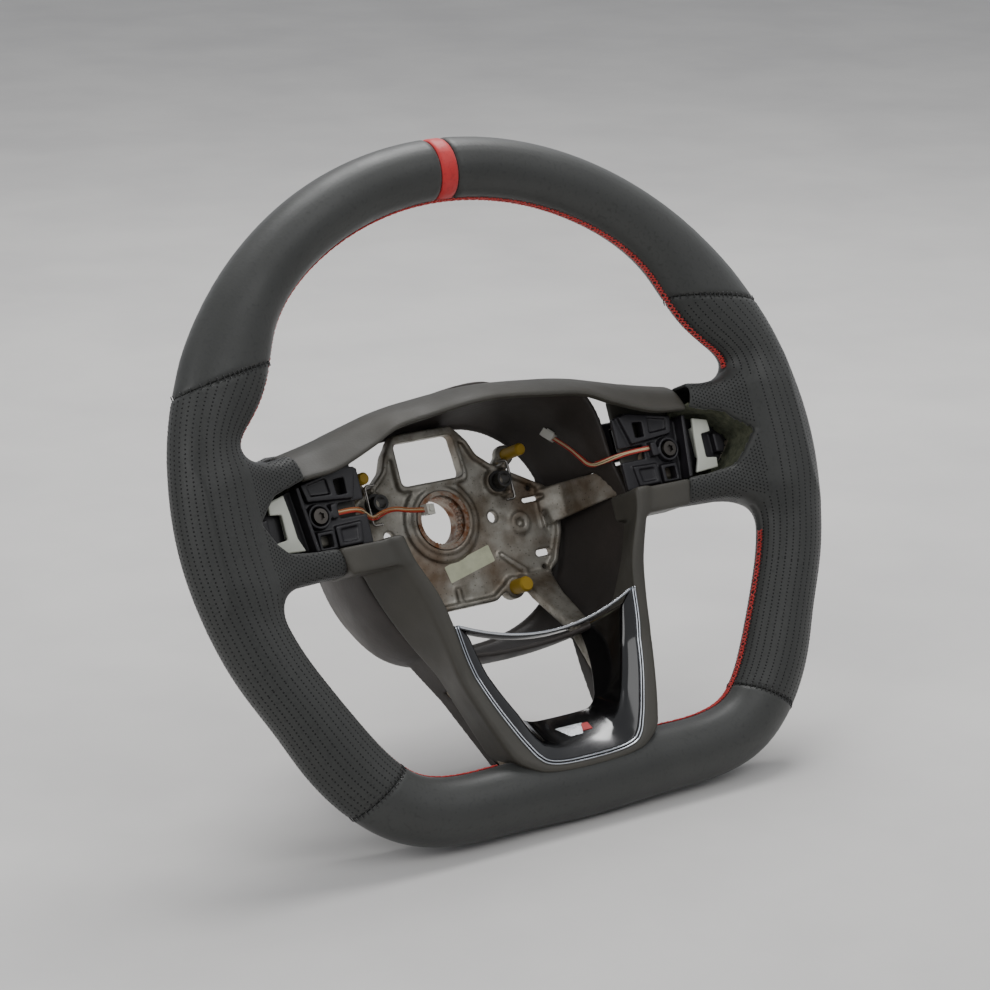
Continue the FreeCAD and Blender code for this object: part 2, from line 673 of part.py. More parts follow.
def carrier_screw():
    x, z = CARRIER_SCREW
    head = Part.makeCone(4.5, 3.8, 2.4, point(x, 11.6, z), -DEPTH)
    star = []
    for lobe in range(12):
        turn = math.radians(30 * lobe)
        radius = 2.2 if lobe % 2 else 1.6
        star.append((x + radius * math.cos(turn), z + radius * math.sin(turn)))
    return head.fuse(disc(x, z, 2.0, 11.6, 20.5)).cut(flat(star, 8, 10.8))


def switch_bracket():
    """The pale clip that the right switch module snaps into."""
    face = flat([(122.9, 21.9), (132.2, 19.5), (132.5, 13.4), (126.3, 12.8), (126.1, 0.2), (132.6, -0.7),
                 (132.0, -6.0), (117.5, -6.9), (120.5, 0), (121.5, 12)], 8.5, 10.5)
    foot = box(121.8, 125.6, 10.5, 13.2, 1, 17)
    return face.fuse(foot)


def guide_bushes():
    bush = disc(BUSH_X, BUSH_Z, BUSH_RADIUS, BUSH_FRONT, PLATE_FRONT)
    bush = bush.fuse(disc(BUSH_X, BUSH_Z, 5.7, PLATE_FRONT - 1.2, PLATE_FRONT))
    bush = bush.cut(disc(BUSH_X, BUSH_Z, BUSH_HOLE_RADIUS, 60, 100))
    return Part.makeCompound([bush, mirror(bush)])


def lock_spring():
    """The right wire that catches the airbag module's pin, hooked over two posts."""
    leg = BUSH_X + 5.6
    hook = [(BUSH_X, 70, 24.6), (leg, 70, 24.6), (leg, 70, 3.8), (BUSH_X, 70, 3.8)]
    path, corners, _ = arc_path(hook, bend=1.8)
    return tube(path, corners, 0.75)


def buffers():
    pieces = []
    for x, z, radius, front, back in ((33.5, -42, 4.0, 62, PLATE_FRONT), (48, 28, 3.2, 60, 77)):
        tip = Part.makeCone(radius - 0.8, radius, 1.2, point(x, front, z), DEPTH)
        piece = tip.fuse(disc(x, z, radius, front + 1.2, back))
        pieces.extend([piece, mirror(piece)])
    return Part.makeCompound(pieces)


def label():
    return flat([(-4.5, -24), (24.5, -17), (26.5, -26), (-2.5, -33)], 76.85, 77.0, 0.8)


def trim_strip():
    """The bright strip between the skin and the gloss frame."""
    sections = []
    for outer, inner in zip(both_sides(FRONT_OPENING[3:]), both_sides(TRIM_FRONT)):
        sections.append([
            (outer[0], front_depth(outer[1]) + STRIP[0], outer[1]),
            (outer[0], front_depth(outer[1]) + STRIP[1], outer[1]),
            (inner[0], front_depth(inner[1]) + STRIP[1], inner[1]),
            (inner[0], front_depth(inner[1]) + STRIP[0], inner[1]),
        ])
    return band(sections).cut(rim_ring(0))


def badge():
    """A plain generic plate on the chin, and its inlay."""
    plate = flat([(-12.5, -125), (-8.5, -117.5), (11.5, -117.5), (11.5, -125)], 0, 1.2)
    inlay = flat([(4.5, -123.4), (6.5, -118.6), (10.2, -118.6), (10.2, -123.4)], -0.5, 0)
    placed = []
    for shape in (plate, inlay):
        shape.rotate(point(0, 0, -121), RIGHT, -BADGE_TILT)
        shape.translate(point(0, BADGE_DEPTH, 0))
        placed.append(shape)
    return placed


def paddle():
    """The right paddle, with its arm and hinge barrel."""
    x, depth = HINGE
    blade = flat(PADDLE, PADDLE_FRONT, PADDLE_FRONT + PADDLE_THICKNESS, 3.0)
    arm = box(x, 98, PADDLE_FRONT + 0.5, depth + 2.5, BARREL[0] + 1, BARREL[1] - 1)
    barrel = Part.makeCylinder(HINGE_RADIUS, BARREL[1] - BARREL[0], point(x, depth, BARREL[0]), UP)
    bore = Part.makeCylinder(PIN_RADIUS + PIN_CLEARANCE, 60, point(x, depth, -10), UP)
    return fuse([blade, arm, barrel]).cut(bore)


def ears():
    low = BARREL[0] - EAR_GAP - EAR_THICKNESS
    high = BARREL[1] + EAR_GAP
    return low, high


def paddle_bracket():
    """The right hinge bracket, seated on the rear cover's side."""
    x, depth = HINGE
    solids = []
    front, back = depth - HINGE_RADIUS, depth + HINGE_RADIUS
    low, high = ears()
    for z in (low, high):
        solids.append(Part.makeCylinder(HINGE_RADIUS, EAR_THICKNESS, point(x, depth, z), UP))
        solids.append(box(72, x, front, back, z, z + EAR_THICKNESS))
    solids.append(box(72, x - HINGE_RADIUS - 1.0, front, back, low, high + EAR_THICKNESS))
    pin_hole = Part.makeCylinder(PIN_RADIUS, 60, point(x, depth, -10), UP)
    return fuse(solids).cut(cover_form()).cut(pin_hole)


def hinge_pin():
    x, depth = HINGE
    low, high = ears()
    return Part.makeCylinder(PIN_RADIUS, high + EAR_THICKNESS - low, point(x, depth, low), UP)


def microswitch():
    body = box(SWITCH_X - 5.5, SWITCH_X + 5.5, 21.5, SWITCH_FRONT, SWITCH_Z - 6, SWITCH_Z + 6)
    return body.cut(disc(SWITCH_X, SWITCH_Z, PLUNGER_RADIUS + PIN_CLEARANCE, 20, 30))


def plunger():
    return disc(SWITCH_X, SWITCH_Z, PLUNGER_RADIUS, *PLUNGER)


def return_spring():
    """A short coil between the spoke's back and the paddle, lofted through rings round its helix."""
    start = 21.5 + SPRING_WIRE
    travel = PADDLE_FRONT - 0.1 - SPRING_WIRE - start
    coil_radius = SPRING_RADIUS - SPRING_WIRE
    steps = 12
    rings = []
    for step in range(steps * SPRING_TURNS + 1):
        turn = 2 * math.pi * step / steps
        rise = travel / (steps * SPRING_TURNS)
        x = SPRING_X + coil_radius * math.cos(turn)
        z = SPRING_Z + coil_radius * math.sin(turn)
        centre = point(x, start + rise * step, z)
        along = point(-math.sin(turn), rise * steps / (2 * math.pi * coil_radius), math.cos(turn))
        rings.append(Part.Wire([Part.Circle(centre, along, SPRING_WIRE).toShape()]))
    return loft(rings)


def lead(route, name):
    path, corners, radii = arc_path(route)
    shape = tube(path, corners, LEAD_WIDTH / 2)
    ratio = shape.Volume / (math.pi * LEAD_WIDTH ** 2 / 4 * path.Length)
    print(name, "length", round(path.Length, 1), "radii", radii, "volume ratio", round(ratio, 4))
    return shape


def connector(route):
    """The small white plug housing on a lead's end, in line with its last run."""
    end = point(*route[-1])
    direction = end - point(*route[-2])
    body = Part.makeBox(7.0, 4.2, 5.4, point(0, -2.1, -2.7))
    key = Part.makeBox(4.0, 0.8, 2.4, point(1.5, -2.9, -1.2))
    housing = body.fuse(key)
    for slot in (-1.6, 0.0, 1.6):
        housing = housing.cut(Part.makeBox(2.5, 1.6, 0.9, point(5.0, -0.8, slot - 0.45)))
    housing.Placement = FreeCAD.Placement(end, FreeCAD.Rotation(RIGHT, direction))
    return housing


def save(name, shape):
    shape = shape.copy()
    shape.translate(point(0, -RIM_TO_HUB, 0))
    shape.exportStep(os.path.join("parts", name + ".step"))
    volumes = [solid.Volume for solid in shape.Solids]
    verdict = "valid" if shape.isValid() else "INVALID"
    print(name, verdict, len(volumes), "solids", round(sum(volumes), 1), "mm3")


def pair(name, shape):
    """The right piece and its mirror image, as two nodes."""
    save(name + "_right", shape)
    save(name + "_left", mirror(shape))


os.makedirs("parts", exist_ok=True)
save("armature_casting", armature())
save("hub_spline_insert", hub_insert())
for node, solid in rim_parts().items():
    save(node, solid)
save("rim_stitching", stitching())
save("hub_skin_upper", upper_skin())
save("hub_skin_lower", lower_skin())
save("rear_cover", rear_cover())
save("rear_cover_screws", cover_screws())
save("lower_trim", lower_trim())
save("trim_strip", trim_strip())
badge_plate, badge_inlay = badge()
save("badge_plate", badge_plate)
save("badge_inlay", badge_inlay)
save("airbag_guide_bushes", guide_bushes())
save("rubber_buffers", buffers())
save("data_label", label())
pair("switch_carrier", carrier())
pair("carrier_screw", carrier_screw())
pair("switch_bracket", switch_bracket())
pair("lock_spring", lock_spring())
pair("paddle", paddle())
pair("paddle_bracket", paddle_bracket())
pair("paddle_pin", hinge_pin())
pair("paddle_switch", microswitch())
pair("switch_plunger", plunger())
pair("paddle_spring", return_spring())
for side, route in (("left", LEAD_LEFT), ("right", LEAD_RIGHT)):
    save("lead_" + side, lead(route, "lead_" + side))
    save("connector_" + side, connector(route))
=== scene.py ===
"""A flat-bottomed road-car steering wheel with its airbag and switch modules out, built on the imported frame.

The tables and functions work in millimetres in the rim's frame: x to the right, depth behind the
rim's mid-plane, z up the wheel. row() and place() turn that into the row frame, in metres.
"""
import json
import math

import bmesh
import bpy
import numpy as np
import openvdb
from mathutils import Matrix, Vector
from mathutils.bvhtree import BVHTree


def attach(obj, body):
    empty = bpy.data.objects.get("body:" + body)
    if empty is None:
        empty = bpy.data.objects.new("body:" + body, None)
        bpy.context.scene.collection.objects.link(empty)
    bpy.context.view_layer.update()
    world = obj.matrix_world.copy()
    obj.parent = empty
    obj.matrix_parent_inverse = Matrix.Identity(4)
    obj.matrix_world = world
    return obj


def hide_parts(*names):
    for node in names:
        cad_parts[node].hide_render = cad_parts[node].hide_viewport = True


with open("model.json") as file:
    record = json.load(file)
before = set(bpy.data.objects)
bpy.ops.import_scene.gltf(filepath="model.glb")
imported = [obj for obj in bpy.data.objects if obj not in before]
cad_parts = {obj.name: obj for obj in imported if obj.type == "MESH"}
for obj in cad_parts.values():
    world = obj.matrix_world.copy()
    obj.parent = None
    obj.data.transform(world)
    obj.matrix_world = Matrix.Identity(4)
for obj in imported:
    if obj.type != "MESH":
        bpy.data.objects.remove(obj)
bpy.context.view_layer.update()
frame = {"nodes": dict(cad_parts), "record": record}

HUB = 85.0  # how far the row frame's origin lies behind the rim's mid-plane
MM = 0.001


def row(points):
    """Points in the rim's frame, in millimetres, to the row frame, in metres."""
    return (np.asarray(points, float) - (0, HUB, 0)) * MM


def place(x, depth, z):
    """One point in the rim's frame as a vector in the row frame."""
    return Vector((x * MM, (depth - HUB) * MM, z * MM))


# ---------------------------------------------------------------- camera
CAMERA_SPOT = (-0.80821, -1.36965, -0.10846)
CAMERA_RIGHT = Vector((0.8346057, -0.4972744, -0.2369630))
CAMERA_UP = Vector((0.1648114, -0.1850484, 0.9688108))
CAMERA_BACK = Vector((-0.5256144, -0.8476292, -0.0724859))
camera = bpy.data.objects.new("camera", bpy.data.cameras.new("camera"))
bpy.context.scene.collection.objects.link(camera)
camera.data.sensor_width = 36.0
camera.data.lens = 110.66
camera.data.clip_end = 50.0
camera_axes = Matrix((CAMERA_RIGHT, CAMERA_UP, CAMERA_BACK)).transposed().to_4x4()
camera.matrix_world = Matrix.Translation(CAMERA_SPOT) @ camera_axes
bpy.context.scene.camera = camera


# ---------------------------------------------------------------- materials
def linear(red, green, blue):
    """Screen colour, 0 to 255, as the linear colour that a shader takes."""
    shares = [value / 255 for value in (red, green, blue)]
    return [((c + 0.055) / 1.055) ** 2.4 if c > 10 / 255 else c / 12.92 for c in shares]


class Paint:
    """A node material over object coordinates, so that its detail has one real size everywhere."""

    def __init__(self, name):
        self.material = bpy.data.materials.new(name)
        self.material.use_nodes = True
        self.nodes = self.material.node_tree.nodes
        self.links = self.material.node_tree.links
        self.shader = self.nodes["Principled BSDF"]
        self.where = self.nodes.new("ShaderNodeTexCoord").outputs["Object"]

    def noise(self, scale, detail=3.0, rough=0.55):
        node = self.nodes.new("ShaderNodeTexNoise")
        node.inputs["Scale"].default_value = scale
        node.inputs["Detail"].default_value = detail
        node.inputs["Roughness"].default_value = rough
        self.links.new(self.where, node.inputs["Vector"])
        return node.outputs["Fac"]

    def cells(self, scale, feature="F1"):
        node = self.nodes.new("ShaderNodeTexVoronoi")
        node.feature = feature
        node.inputs["Scale"].default_value = scale
        self.links.new(self.where, node.inputs["Vector"])
        return node.outputs["Distance"]

    def ranged(self, value, low, high, out_low=0.0, out_high=1.0):
        node = self.nodes.new("ShaderNodeMapRange")
        limits = {"From Min": low, "From Max": high, "To Min": out_low, "To Max": out_high}
        for name, number in limits.items():
            node.inputs[name].default_value = number
        self.links.new(value, node.inputs["Value"])
        return node.outputs["Result"]

    def mixed(self, share, first, second):
        node = self.nodes.new("ShaderNodeMix")
        node.data_type = "RGBA"
        self.links.new(share, node.inputs["Factor"])
        for socket, colour in ((node.inputs[6], first), (node.inputs[7], second)):
            if isinstance(colour, bpy.types.NodeSocket):
                self.links.new(colour, socket)
            else:
                socket.default_value = (*colour, 1)
        return node.outputs[2]

    def colour(self, value):
        self.links.new(value, self.shader.inputs["Base Color"])

    def roughness(self, value):
        self.links.new(value, self.shader.inputs["Roughness"])

    def bump(self, *layers):
        """Layers of (height, strength, depth in metres), each laid over the last."""
        normal = None
        for height, strength, depth in layers:
            node = self.nodes.new("ShaderNodeBump")
            node.inputs["Strength"].default_value = strength
            node.inputs["Distance"].default_value = depth
            self.links.new(height, node.inputs["Height"])
            if normal:
                self.links.new(normal, node.inputs["Normal"])
            normal = node.outputs["Normal"]
        self.links.new(normal, self.shader.inputs["Normal"])

    def set(self, **values):
        for name, value in values.items():
            self.shader.inputs[name.replace("_", " ")].default_value = value
        return self.material


def moulded_plastic(name, colour, tint, rough, grain=900.0, strength=0.25, coat=0.0):
    """Injection-moulded plastic or skin: fine spark grain, faint blotches, handling wear in its sheen."""
    paint = Paint(name)
    paint.colour(paint.mixed(paint.ranged(paint.noise(26, 4), 0.35, 0.68), linear(*colour), linear(*tint)))
    paint.roughness(paint.ranged(paint.noise(60, 4), 0.3, 0.7, rough - 0.06, rough + 0.07))
    pits = (paint.cells(grain), strength, 0.00012)
    paint.bump(pits, (paint.noise(grain * 0.35, 3), strength * 0.6, 0.0001))
    return paint.set(Coat_Weight=coat, Coat_Roughness=0.08)


def leather(name, colour, tint, rough, pores=700.0):
    """Coated leather: pebbled grain with darker valleys, soft creases and a dull sheen."""
    paint = Paint(name)
    cells = paint.cells(pores, "SMOOTH_F1")
    crease = paint.noise(150, 5, 0.6)
    shade = paint.mixed(paint.ranged(paint.noise(18, 4), 0.35, 0.7), linear(*colour), linear(*tint))
    valley = paint.ranged(cells, 0.5, 0.9)
    paint.colour(paint.mixed(valley, shade, [c * 0.72 for c in linear(*colour)]))
    paint.roughness(paint.ranged(paint.noise(45, 4), 0.3, 0.7, rough - 0.05, rough + 0.07))
    paint.bump((crease, 0.16, 0.0004), (cells, 0.3, 0.00014))
    return paint.set(Sheen_Weight=0.12, Sheen_Roughness=0.5, Specular_IOR_Level=0.42)


def bright_metal(name, colour, rough, scale=220.0, strength=0.12):
    """Bare or plated metal, clouded by handling."""
    paint = Paint(name)
    paint.colour(paint.mixed(paint.ranged(paint.noise(50, 5), 0.35, 0.7), linear(*colour),
                             [c * 0.72 for c in linear(*colour)]))
    paint.roughness(paint.ranged(paint.noise(90, 5), 0.3, 0.7, rough * 0.7, rough * 1.3))
    paint.bump((paint.noise(scale, 5), strength, 0.0001))
    return paint.set(Metallic=1.0)


def cast_magnesium(name):
    """As-cast light alloy: mottled grey, browner in random patches, with small dark speckles scattered over
    it.
    """
    paint = Paint(name)
    mottled = paint.mixed(paint.ranged(paint.noise(55, 7, 0.65), 0.38, 0.64), linear(176, 172, 162),
                          linear(112, 106, 94))
    stained = paint.mixed(paint.ranged(paint.noise(14, 4), 0.48, 0.7), mottled, linear(118, 92, 66))
    speckled = paint.mixed(paint.ranged(paint.cells(420), 0.0, 0.22), linear(70, 64, 54), stained)
    paint.colour(speckled)
    paint.roughness(paint.ranged(paint.noise(120, 5), 0.3, 0.7, 0.34, 0.62))
    paint.bump((paint.noise(260, 6, 0.7), 0.35, 0.0004), (paint.noise(40, 3), 0.2, 0.001))
    return paint.set(Metallic=0.55)


def rusty_steel(name):
    """Machined steel with rust freckles."""
    paint = Paint(name)
    paint.colour(paint.mixed(paint.ranged(paint.noise(170, 6, 0.7), 0.42, 0.6), linear(150, 140, 128),
                             linear(118, 74, 44)))
    paint.roughness(paint.ranged(paint.noise(200, 4), 0.3, 0.7, 0.3, 0.6))
    paint.bump((paint.noise(500, 5), 0.3, 0.0002))
    return paint.set(Metallic=0.8)


def raw_foam(name):
    """Torn, open moulded foam."""
    paint = Paint(name)
    paint.colour(paint.mixed(paint.ranged(paint.noise(240, 6, 0.7), 0.35, 0.65), linear(58, 62, 48),
                             linear(96, 98, 78)))
    paint.roughness(paint.ranged(paint.noise(300, 4), 0.3, 0.7, 0.85, 0.98))
    paint.bump((paint.noise(420, 6, 0.75), 0.9, 0.0011), (paint.cells(900), 0.5, 0.0004))
    return paint.material


def printed_film(name):
    """A blank, faintly mottled sticker."""
    paint = Paint(name)
    paint.colour(paint.mixed(paint.ranged(paint.noise(120, 4), 0.4, 0.65), linear(226, 228, 196),
                             linear(206, 208, 176)))
    paint.roughness(paint.ranged(paint.noise(150, 3), 0.3, 0.7, 0.35, 0.5))
    paint.bump((paint.noise(400, 3), 0.1, 0.0001))
    return paint.material


def thread(name, colour):
    """Twisted sewing thread."""
    paint = Paint(name)
    paint.colour(paint.mixed(paint.ranged(paint.noise(900, 3), 0.35, 0.65), linear(*colour),
                             [c * 0.55 for c in linear(*colour)]))
    paint.roughness(paint.ranged(paint.noise(700, 3), 0.3, 0.7, 0.55, 0.75))
    paint.bump((paint.cells(2600), 0.5, 0.0001))
    return paint.set(Sheen_Weight=0.2)


PLASTICS = {  # colour, tint and roughness, then the grain, its strength and the clear coat
    "skin": ((56, 54, 48), (66, 63, 56), 0.52),
    "cover": ((50, 45, 42), (60, 54, 50), 0.55, 700.0, 0.35),
    "gloss_black": ((9, 9, 10), (14, 14, 15), 0.12, 300.0, 0.02, 0.6),
    "inlay_red": ((196, 18, 22), (170, 12, 16), 0.3, 500.0, 0.05, 0.5),
    "carrier_plastic": ((26, 24, 27), (36, 34, 38), 0.38, 800.0, 0.2),
    "bracket_white": ((226, 228, 216), (206, 208, 194), 0.42, 500.0, 0.12),
    "buffer_rubber": ((196, 160, 40), (160, 126, 26), 0.62, 500.0, 0.3),
    "bush_plastic": ((34, 33, 31), (46, 44, 41), 0.45, 600.0, 0.2),
    "paddle_gloss": ((12, 12, 13), (18, 18, 19), 0.16, 300.0, 0.03, 0.4),
    "switch_body": ((40, 40, 44), (52, 52, 56), 0.45, 600.0, 0.2),
    "plunger_plastic": ((200, 196, 180), (180, 176, 160), 0.4, 600.0, 0.1),
    "lead_red": ((190, 44, 34), (160, 32, 26), 0.4, 500.0, 0.1),
    "lead_brown": ((186, 108, 58), (160, 88, 44), 0.4, 500.0, 0.1),
    "connector_plastic": ((232, 230, 220), (212, 210, 200), 0.4, 500.0, 0.1),
    # hole: the near-black of the perforation lenses, painted shade inside the holes.
    "hole": ((7, 7, 7), (11, 11, 11), 0.8, 500.0, 0.1),
}
LOOKS = {name: moulded_plastic(name + "_look", *facts) for name, facts in PLASTICS.items()}
LOOKS.update({
    "lead_insulation": moulded_plastic("lead_cream_look", (214, 198, 160), (196, 178, 140), 0.4, 500.0, 0.1),
    "cast_magnesium": cast_magnesium("cast_magnesium_look"),
    "hub_steel": rusty_steel("hub_steel_look"),
    "foam": raw_foam("foam_look"),
    "leather_smooth": leather("leather_smooth_look", (50, 51, 49), (57, 58, 56), 0.47),
    "leather_perforated": leather("leather_perforated_look", (44, 45, 43), (51, 52, 50), 0.5),
    "leather_red": leather("leather_red_look", (188, 38, 40), (204, 52, 52), 0.48),
    "thread_red": thread("thread_red_look", (214, 46, 40)),
    "thread_black": thread("thread_black_look", (22, 22, 22)),
    "bright_trim": bright_metal("bright_trim_look", (206, 210, 216), 0.16, 120.0, 0.04),
    "badge_metal": bright_metal("badge_metal_look", (196, 198, 202), 0.22, 300.0, 0.08),
    "screw_steel": bright_metal("screw_steel_look", (92, 88, 84), 0.34, 400.0, 0.2),
    "spring_steel": bright_metal("spring_steel_look", (168, 164, 158), 0.28, 500.0, 0.15),
    "label_film": printed_film("label_film_look"),
})
for subpart in frame["record"]["subparts"]:
    node = frame["nodes"][subpart["node"]]
    for index in range(len(node.material_slots)):
        node.material_slots[index].material = LOOKS[subpart["material_slot"]]


# ---------------------------------------------------------------- mesh tools
def piece(name, points, faces, slot, body="wheel", replaces=(), looks=None, looks_of=None):
    """A new mesh from points in the rim's frame, riding on a body."""
    mesh = bpy.data.meshes.new(name)
    mesh.from_pydata(row(points).tolist(), [], [list(map(int, face)) for face in faces])
    mesh.validate()
    for look in looks or [LOOKS[slot]]:
        mesh.materials.append(look)
    if looks_of is not None:
        mesh.polygons.foreach_set("material_index", np.asarray(looks_of, np.int32))
    mesh.shade_smooth()
    obj = bpy.data.objects.new(name, mesh)
    bpy.context.scene.collection.objects.link(obj)
    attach(obj, body)
    if replaces:
        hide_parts(*replaces)
    return obj


def through(points, steps):
    """A smooth open curve through rows of numbers, with so many steps between each two."""
    knots = np.asarray(points, float)
    knots = np.vstack([2 * knots[0] - knots[1], knots, 2 * knots[-1] - knots[-2]])
    out = []
    for p0, p1, p2, p3 in zip(knots, knots[1:], knots[2:], knots[3:]):
        for step in range(steps):
            t = step / steps
            out.append(0.5 * (2 * p1 + (p2 - p0) * t + (2 * p0 - 5 * p1 + 4 * p2 - p3) * t ** 2
                              + (3 * p1 - p0 - 3 * p2 + p3) * t ** 3))
    out.append(knots[-2])
    return np.array(out)


def both_sides(half):
    """The right half of an outline, from its top to its bottom, with its mirror image."""
    return half + [(-point[0], *point[1:]) for point in reversed(half) if point[0]]


def rounded_ring(corners, reaches, steps=4):
    """A closed ring with its corners rounded: each starts and ends as far from the corner as given."""
    ring = []
    count = len(corners)
    for index, corner in enumerate(corners):
        back = corners[index - 1] - corner
        ahead = corners[(index + 1) % count] - corner
        start = corner + back * min(0.48, reaches[index] / np.linalg.norm(back))
        finish = corner + ahead * min(0.48, reaches[index] / np.linalg.norm(ahead))
        for step in range(steps + 1):
            t = step / steps
            ring.append((1 - t) ** 2 * start + 2 * t * (1 - t) * corner + t * t * finish)
    return ring


def skinned(rings, closed=False):
    """Faces over equal rings: capped at both ends, or joined into a loop."""
    size = len(rings[0])
    count = len(rings)
    faces = []
    for index in range(count if closed else count - 1):
        first, second = index * size, (index + 1) % count * size
        for k in range(size):
            following = (k + 1) % size
            faces.append((first + k, first + following, second + following, second + k))
    if not closed:
        faces.append(tuple(range(size))[::-1])
        faces.append(tuple(range((count - 1) * size, count * size)))
    points = np.array(rings).reshape(-1, 3)
    return points, outward(points, faces)


def outward(points, faces):
    """The faces turned so that the closed surface has a positive volume."""
    volume = 0.0
    for face in faces:
        origin = points[face[0]]
        for second, third in zip(face[1:], face[2:]):
            volume += np.dot(origin, np.cross(points[second], points[third]))
    return faces if volume > 0 else [tuple(reversed(face)) for face in faces]


def tube(path, radius, sides=6):
    """A round closed tube along a path."""
    path = np.asarray(path, float)
    ahead = np.gradient(path, axis=0)
    ahead /= np.linalg.norm(ahead, axis=1)[:, None]
    side = np.cross(ahead, (0.31, 0.17, 0.93))
    side /= np.linalg.norm(side, axis=1)[:, None]
    lift = np.cross(side, ahead)
    turns = [2 * math.pi * k / sides for k in range(sides)]
    rings = [[p + radius * (math.cos(t) * s + math.sin(t) * u) for t in turns]
             for p, s, u in zip(path, side, lift)]
    return skinned(rings)


def gathered(parts):
    """Several (points, faces) as one."""
    points, faces, start = [], [], 0
    for some_points, some_faces in parts:
        points.append(some_points)
        faces.extend([tuple(start + k for k in face) for face in some_faces])
        start += len(some_points)
    return np.vstack(points), faces


def node_mesh(name):
    """A CAD node's triangles, in the rim's frame."""
    mesh = frame["nodes"][name].data
    points = np.empty(len(mesh.vertices) * 3, np.float32)
    mesh.vertices.foreach_get("co", points)
    mesh.calc_loop_triangles()
    triangles = np.empty(len(mesh.loop_triangles) * 3, np.int32)
    mesh.loop_triangles.foreach_get("vertices", triangles)
    return points.reshape(-1, 3) / MM + (0, HUB, 0), triangles.reshape(-1, 3)


def as_triangles(points, faces):
    """A closed solid with its faces split into fans."""
    triangles = []
    for face in faces:
        for second, third in zip(face[1:], face[2:]):
            triangles.append((face[0], second, third))
    return points, np.array(triangles)


def softest(a, b, reach):
    """The smaller of two distances, blended where they are near each other."""
    if not reach:
        return np.minimum(a, b)
    share = np.clip(0.5 + 0.5 * (b - a) / reach, 0, 1)
    return b + (a - b) * share - reach * share * (1 - share)


def blurred(values, passes):
    """Values on a grid, each averaged with its neighbours, so many times."""
    for _ in range(passes):
        for axis in range(3):
            ahead = np.roll(values, 1, axis)
            behind = np.roll(values, -1, axis)
            values = 0.5 * values + 0.25 * (ahead + behind)
    return values


def surface(values, low, pitch):
    """The zero surface of distances on a grid, as points and quads."""
    grid = openvdb.FloatGrid(3.0)
    grid.copyFromArray(np.clip(values / pitch, -3, 3).astype(np.float32))
    points, quads = grid.convertToQuads(0.0)
    return points.astype(float) * pitch + low, quads


def melted(solids, pitch, passes=1, reach=0.0, carve=None):
    """Closed solids joined and softened at their edges, as a moulding or casting comes out."""
    low = np.min([points.min(0) for points, _ in solids], axis=0) - 5 * pitch
    high = np.max([points.max(0) for points, _ in solids], axis=0) + 5 * pitch
    size = np.ceil((high - low) / pitch).astype(int) + 1
    total = None
    for points, triangles in solids:
        at = ((points - low) / pitch).astype(np.float32)
        grid = openvdb.FloatGrid.createLevelSetFromPolygons(
            at, triangles=triangles.astype(np.uint32), halfWidth=4.0)
        values = np.empty(size, np.float32)
        grid.copyToArray(values)
        values *= pitch
        total = values if total is None else softest(total, values, reach)
    if carve:
        spots = [low[k] + pitch * np.arange(size[k]) for k in range(3)]
        total = np.maximum(total, -carve(*spots))
    return surface(blurred(total, passes), low, pitch)


def melted_node(node, pitch, slot, body="wheel", passes=1):
    """A CAD node with its edges softened."""
    points, quads = melted([node_mesh(node)], pitch, passes)
    return piece(node + "_moulded", points, quads, slot, body, [node])


# ---------------------------------------------------------------- leads
LEAD_LEFT = [
    (-94.5, 12.2, 8.7), (-86.5, 12.9, 9.2), (-78.2, 17.3, 8.4), (-71.0, 26.2, 6.5), (-63.0, 34.5, 4.4),
    (-53.5, 40.5, 7.3), (-42.5, 46.5, 8.4), (-30.5, 53.5, 6.6), (-18.5, 59.5, 6.1),
]
LEAD_RIGHT = [
    (94.5, 12.2, 10.9), (86.0, 13.0, 11.0), (78.0, 17.5, 10.6), (72.8, 27.0, 9.4), (72.0, 37.0, 9.7),
    (71.6, 43.8, 16.4), (69.6, 48.8, 22.8), (65.8, 54.5, 29.4),
]
LEAD_WIDTH = 3.0
WIRE_RADIUS = 0.38


def lead_line(route):
    """The route's smooth line, evaluated by the curve itself, in the rim's frame."""
    data = bpy.data.curves.new("route", "CURVE")
    data.dimensions = "3D"
    data.resolution_u = 12
    spline = data.splines.new("NURBS")
    spline.points.add(len(route) - 1)
    for point, spot in zip(spline.points, route):
        point.co = (*place(*spot), 1)
    spline.order_u = 3
    spline.use_endpoint_u = True
    curve = bpy.data.objects.new("route", data)
    mesh = bpy.data.meshes.new_from_object(curve)
    line = np.array([vertex.co for vertex in mesh.vertices]) / MM + (0, HUB, 0)
    bpy.data.meshes.remove(mesh)
    bpy.data.objects.remove(curve)
    bpy.data.curves.remove(data)
    return line


def ribbon(name, route, node, colours):
    """A flat lead of separate wires side by side, which fan apart a little between its ends."""
    line = lead_line(route)
    ahead = np.gradient(line, axis=0)
    ahead /= np.linalg.norm(ahead, axis=1)[:, None]
    along = np.linspace(0, 1, len(line))
    side = np.cross(ahead, (0, 1, 0))
    side /= np.linalg.norm(side, axis=1)[:, None]
    lift = np.cross(side, ahead)
    parts, looks_of = [], []
    spread = LEAD_WIDTH / 2 - WIRE_RADIUS
    for wire, colour in enumerate(colours):
        share = 2 * wire / (len(colours) - 1) - 1
        wander = 0.25 * np.sin(along * 9 + wire * 2.1) * np.sin(math.pi * along)
        rise = 0.5 * np.sin(along * 7 + wire * 1.3) * np.sin(math.pi * along)
        path = line + side * (share * spread * 0.86 + wander)[:, None] + lift * rise[:, None]
        wire_points, wire_faces = tube(path, WIRE_RADIUS, 8)
        parts.append((wire_points, wire_faces))
        looks_of += [colour] * len(wire_faces)
    points, faces = gathered(parts)
    looks = [LOOKS["lead_insulation"], LOOKS["lead_red"], LOOKS["lead_brown"]]
    obj = piece(name, points, faces, "lead_insulation", replaces=[node], looks=looks, looks_of=looks_of)


